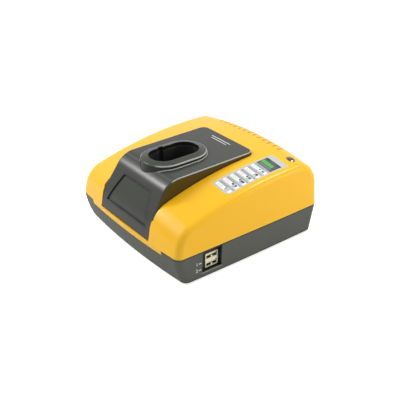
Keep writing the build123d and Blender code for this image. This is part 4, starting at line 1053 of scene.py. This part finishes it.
class CHARGER_OT_stage(Operator):
    """Set the pale floor, the sky, the soft lamps and the camera."""
    bl_idname = "charger.stage"
    bl_label = "Stage"

    def execute(self, context):
        scene = context.scene
        settings = scene.charger_stage
        scene.view_settings.view_transform = "Standard"
        self.make_floor()
        self.make_sky(settings.sky)
        for lamp in (("key_lamp", (-0.62, -0.72, 0.98), 1.1, 0.9, settings.key, True),
                     ("band_lamp", (-0.63, -0.47, 0.61), 0.12, 0.26, settings.band, True),
                     ("crest_lamp", (0.10, 0.64, 1.06), 0.11, 0.34, settings.crest, True),
                     ("side_lamp", (0.62, 0.50, 0.30), 0.5, 0.4, settings.side, False),
                     ("glint_lamp", (0.62, 0.50, 0.34), 0.16, 0.20, settings.glint, True)):
            soft_lamp(*lamp)
        camera = link_object("camera", bpy.data.cameras.new("camera"))
        camera.data.lens = settings.lens
        camera.data.sensor_width = 36.0
        camera.data.clip_start = 0.01
        back = Vector((sin(settings.azimuth) * cos(settings.elevation),
                       -cos(settings.azimuth) * cos(settings.elevation), sin(settings.elevation)))
        place = Vector(settings.place)
        aim(camera, place, place - back)
        scene.camera = camera
        return {"FINISHED"}

    def make_floor(self):
        """Round pale floor under the feet."""
        def disc(shape):
            bmesh.ops.create_circle(shape, cap_ends=True, segments=96, radius=FLOOR_RADIUS)

        floor = link_object("floor", mesh_from("floor", disc))
        floor.data.materials.append(get_material("floor"))

    def make_sky(self, strength):
        """Even sky that lights the charger and stays white behind it."""
        world = bpy.data.worlds.new("sky")
        bpy.context.scene.world = world
        world.use_nodes = True
        tree = world.node_tree
        rays = tree.nodes.new("ShaderNodeLightPath")
        seen = calculate(tree, "MAXIMUM", rays.outputs["Is Camera Ray"],
                         calculate(tree, "MAXIMUM", rays.outputs["Is Glossy Ray"],
                                   rays.outputs["Is Transmission Ray"]))
        level = calculate(tree, "MULTIPLY_ADD", seen, 1.0 - strength, strength)
        background = tree.nodes["Background"]
        background.inputs["Color"].default_value = (1.0, 1.0, 1.0, 1.0)
        tree.links.new(level, background.inputs["Strength"])


class CHARGER_PT_finish(Panel):
    """Charger settings and the steps that build its finish."""
    bl_idname = "CHARGER_PT_finish"
    bl_label = "Charger"
    bl_space_type = "VIEW_3D"
    bl_region_type = "UI"
    bl_category = "Charger"

    def draw(self, context):
        for step in STEPS:
            self.layout.operator(step.bl_idname)
        scene = context.scene
        for settings in (scene.charger_colours, scene.charger_sizes, scene.charger_stage):
            box = self.layout.box()
            for key in settings.__annotations__:
                box.prop(settings, key)


STEPS = (CHARGER_OT_shells, CHARGER_OT_contacts, CHARGER_OT_status, CHARGER_OT_label_print,
         CHARGER_OT_plain_marks, CHARGER_OT_screws, CHARGER_OT_electronics, CHARGER_OT_stage)
CLASSES = (ChargerColours, ChargerSizes, ChargerStage, *STEPS, CHARGER_PT_finish)


def register():
    """Adds the classes and the settings of the scene."""
    for made in CLASSES:
        bpy.utils.register_class(made)
    bpy.types.Scene.charger_colours = PointerProperty(type=ChargerColours)
    bpy.types.Scene.charger_sizes = PointerProperty(type=ChargerSizes)
    bpy.types.Scene.charger_stage = PointerProperty(type=ChargerStage)


def unregister():
    """Takes the settings and the classes away again."""
    del bpy.types.Scene.charger_stage
    del bpy.types.Scene.charger_sizes
    del bpy.types.Scene.charger_colours
    for made in reversed(CLASSES):
        bpy.utils.unregister_class(made)


def main():
    """Builds the finish step by step."""
    register()
    bpy.ops.charger.shells()
    bpy.ops.charger.contacts()
    bpy.ops.charger.status()
    bpy.ops.charger.label_print()
    bpy.ops.charger.plain_marks()
    bpy.ops.charger.screws()
    bpy.ops.charger.electronics()
    bpy.ops.charger.stage()


if __name__ == "__main__":
    main()
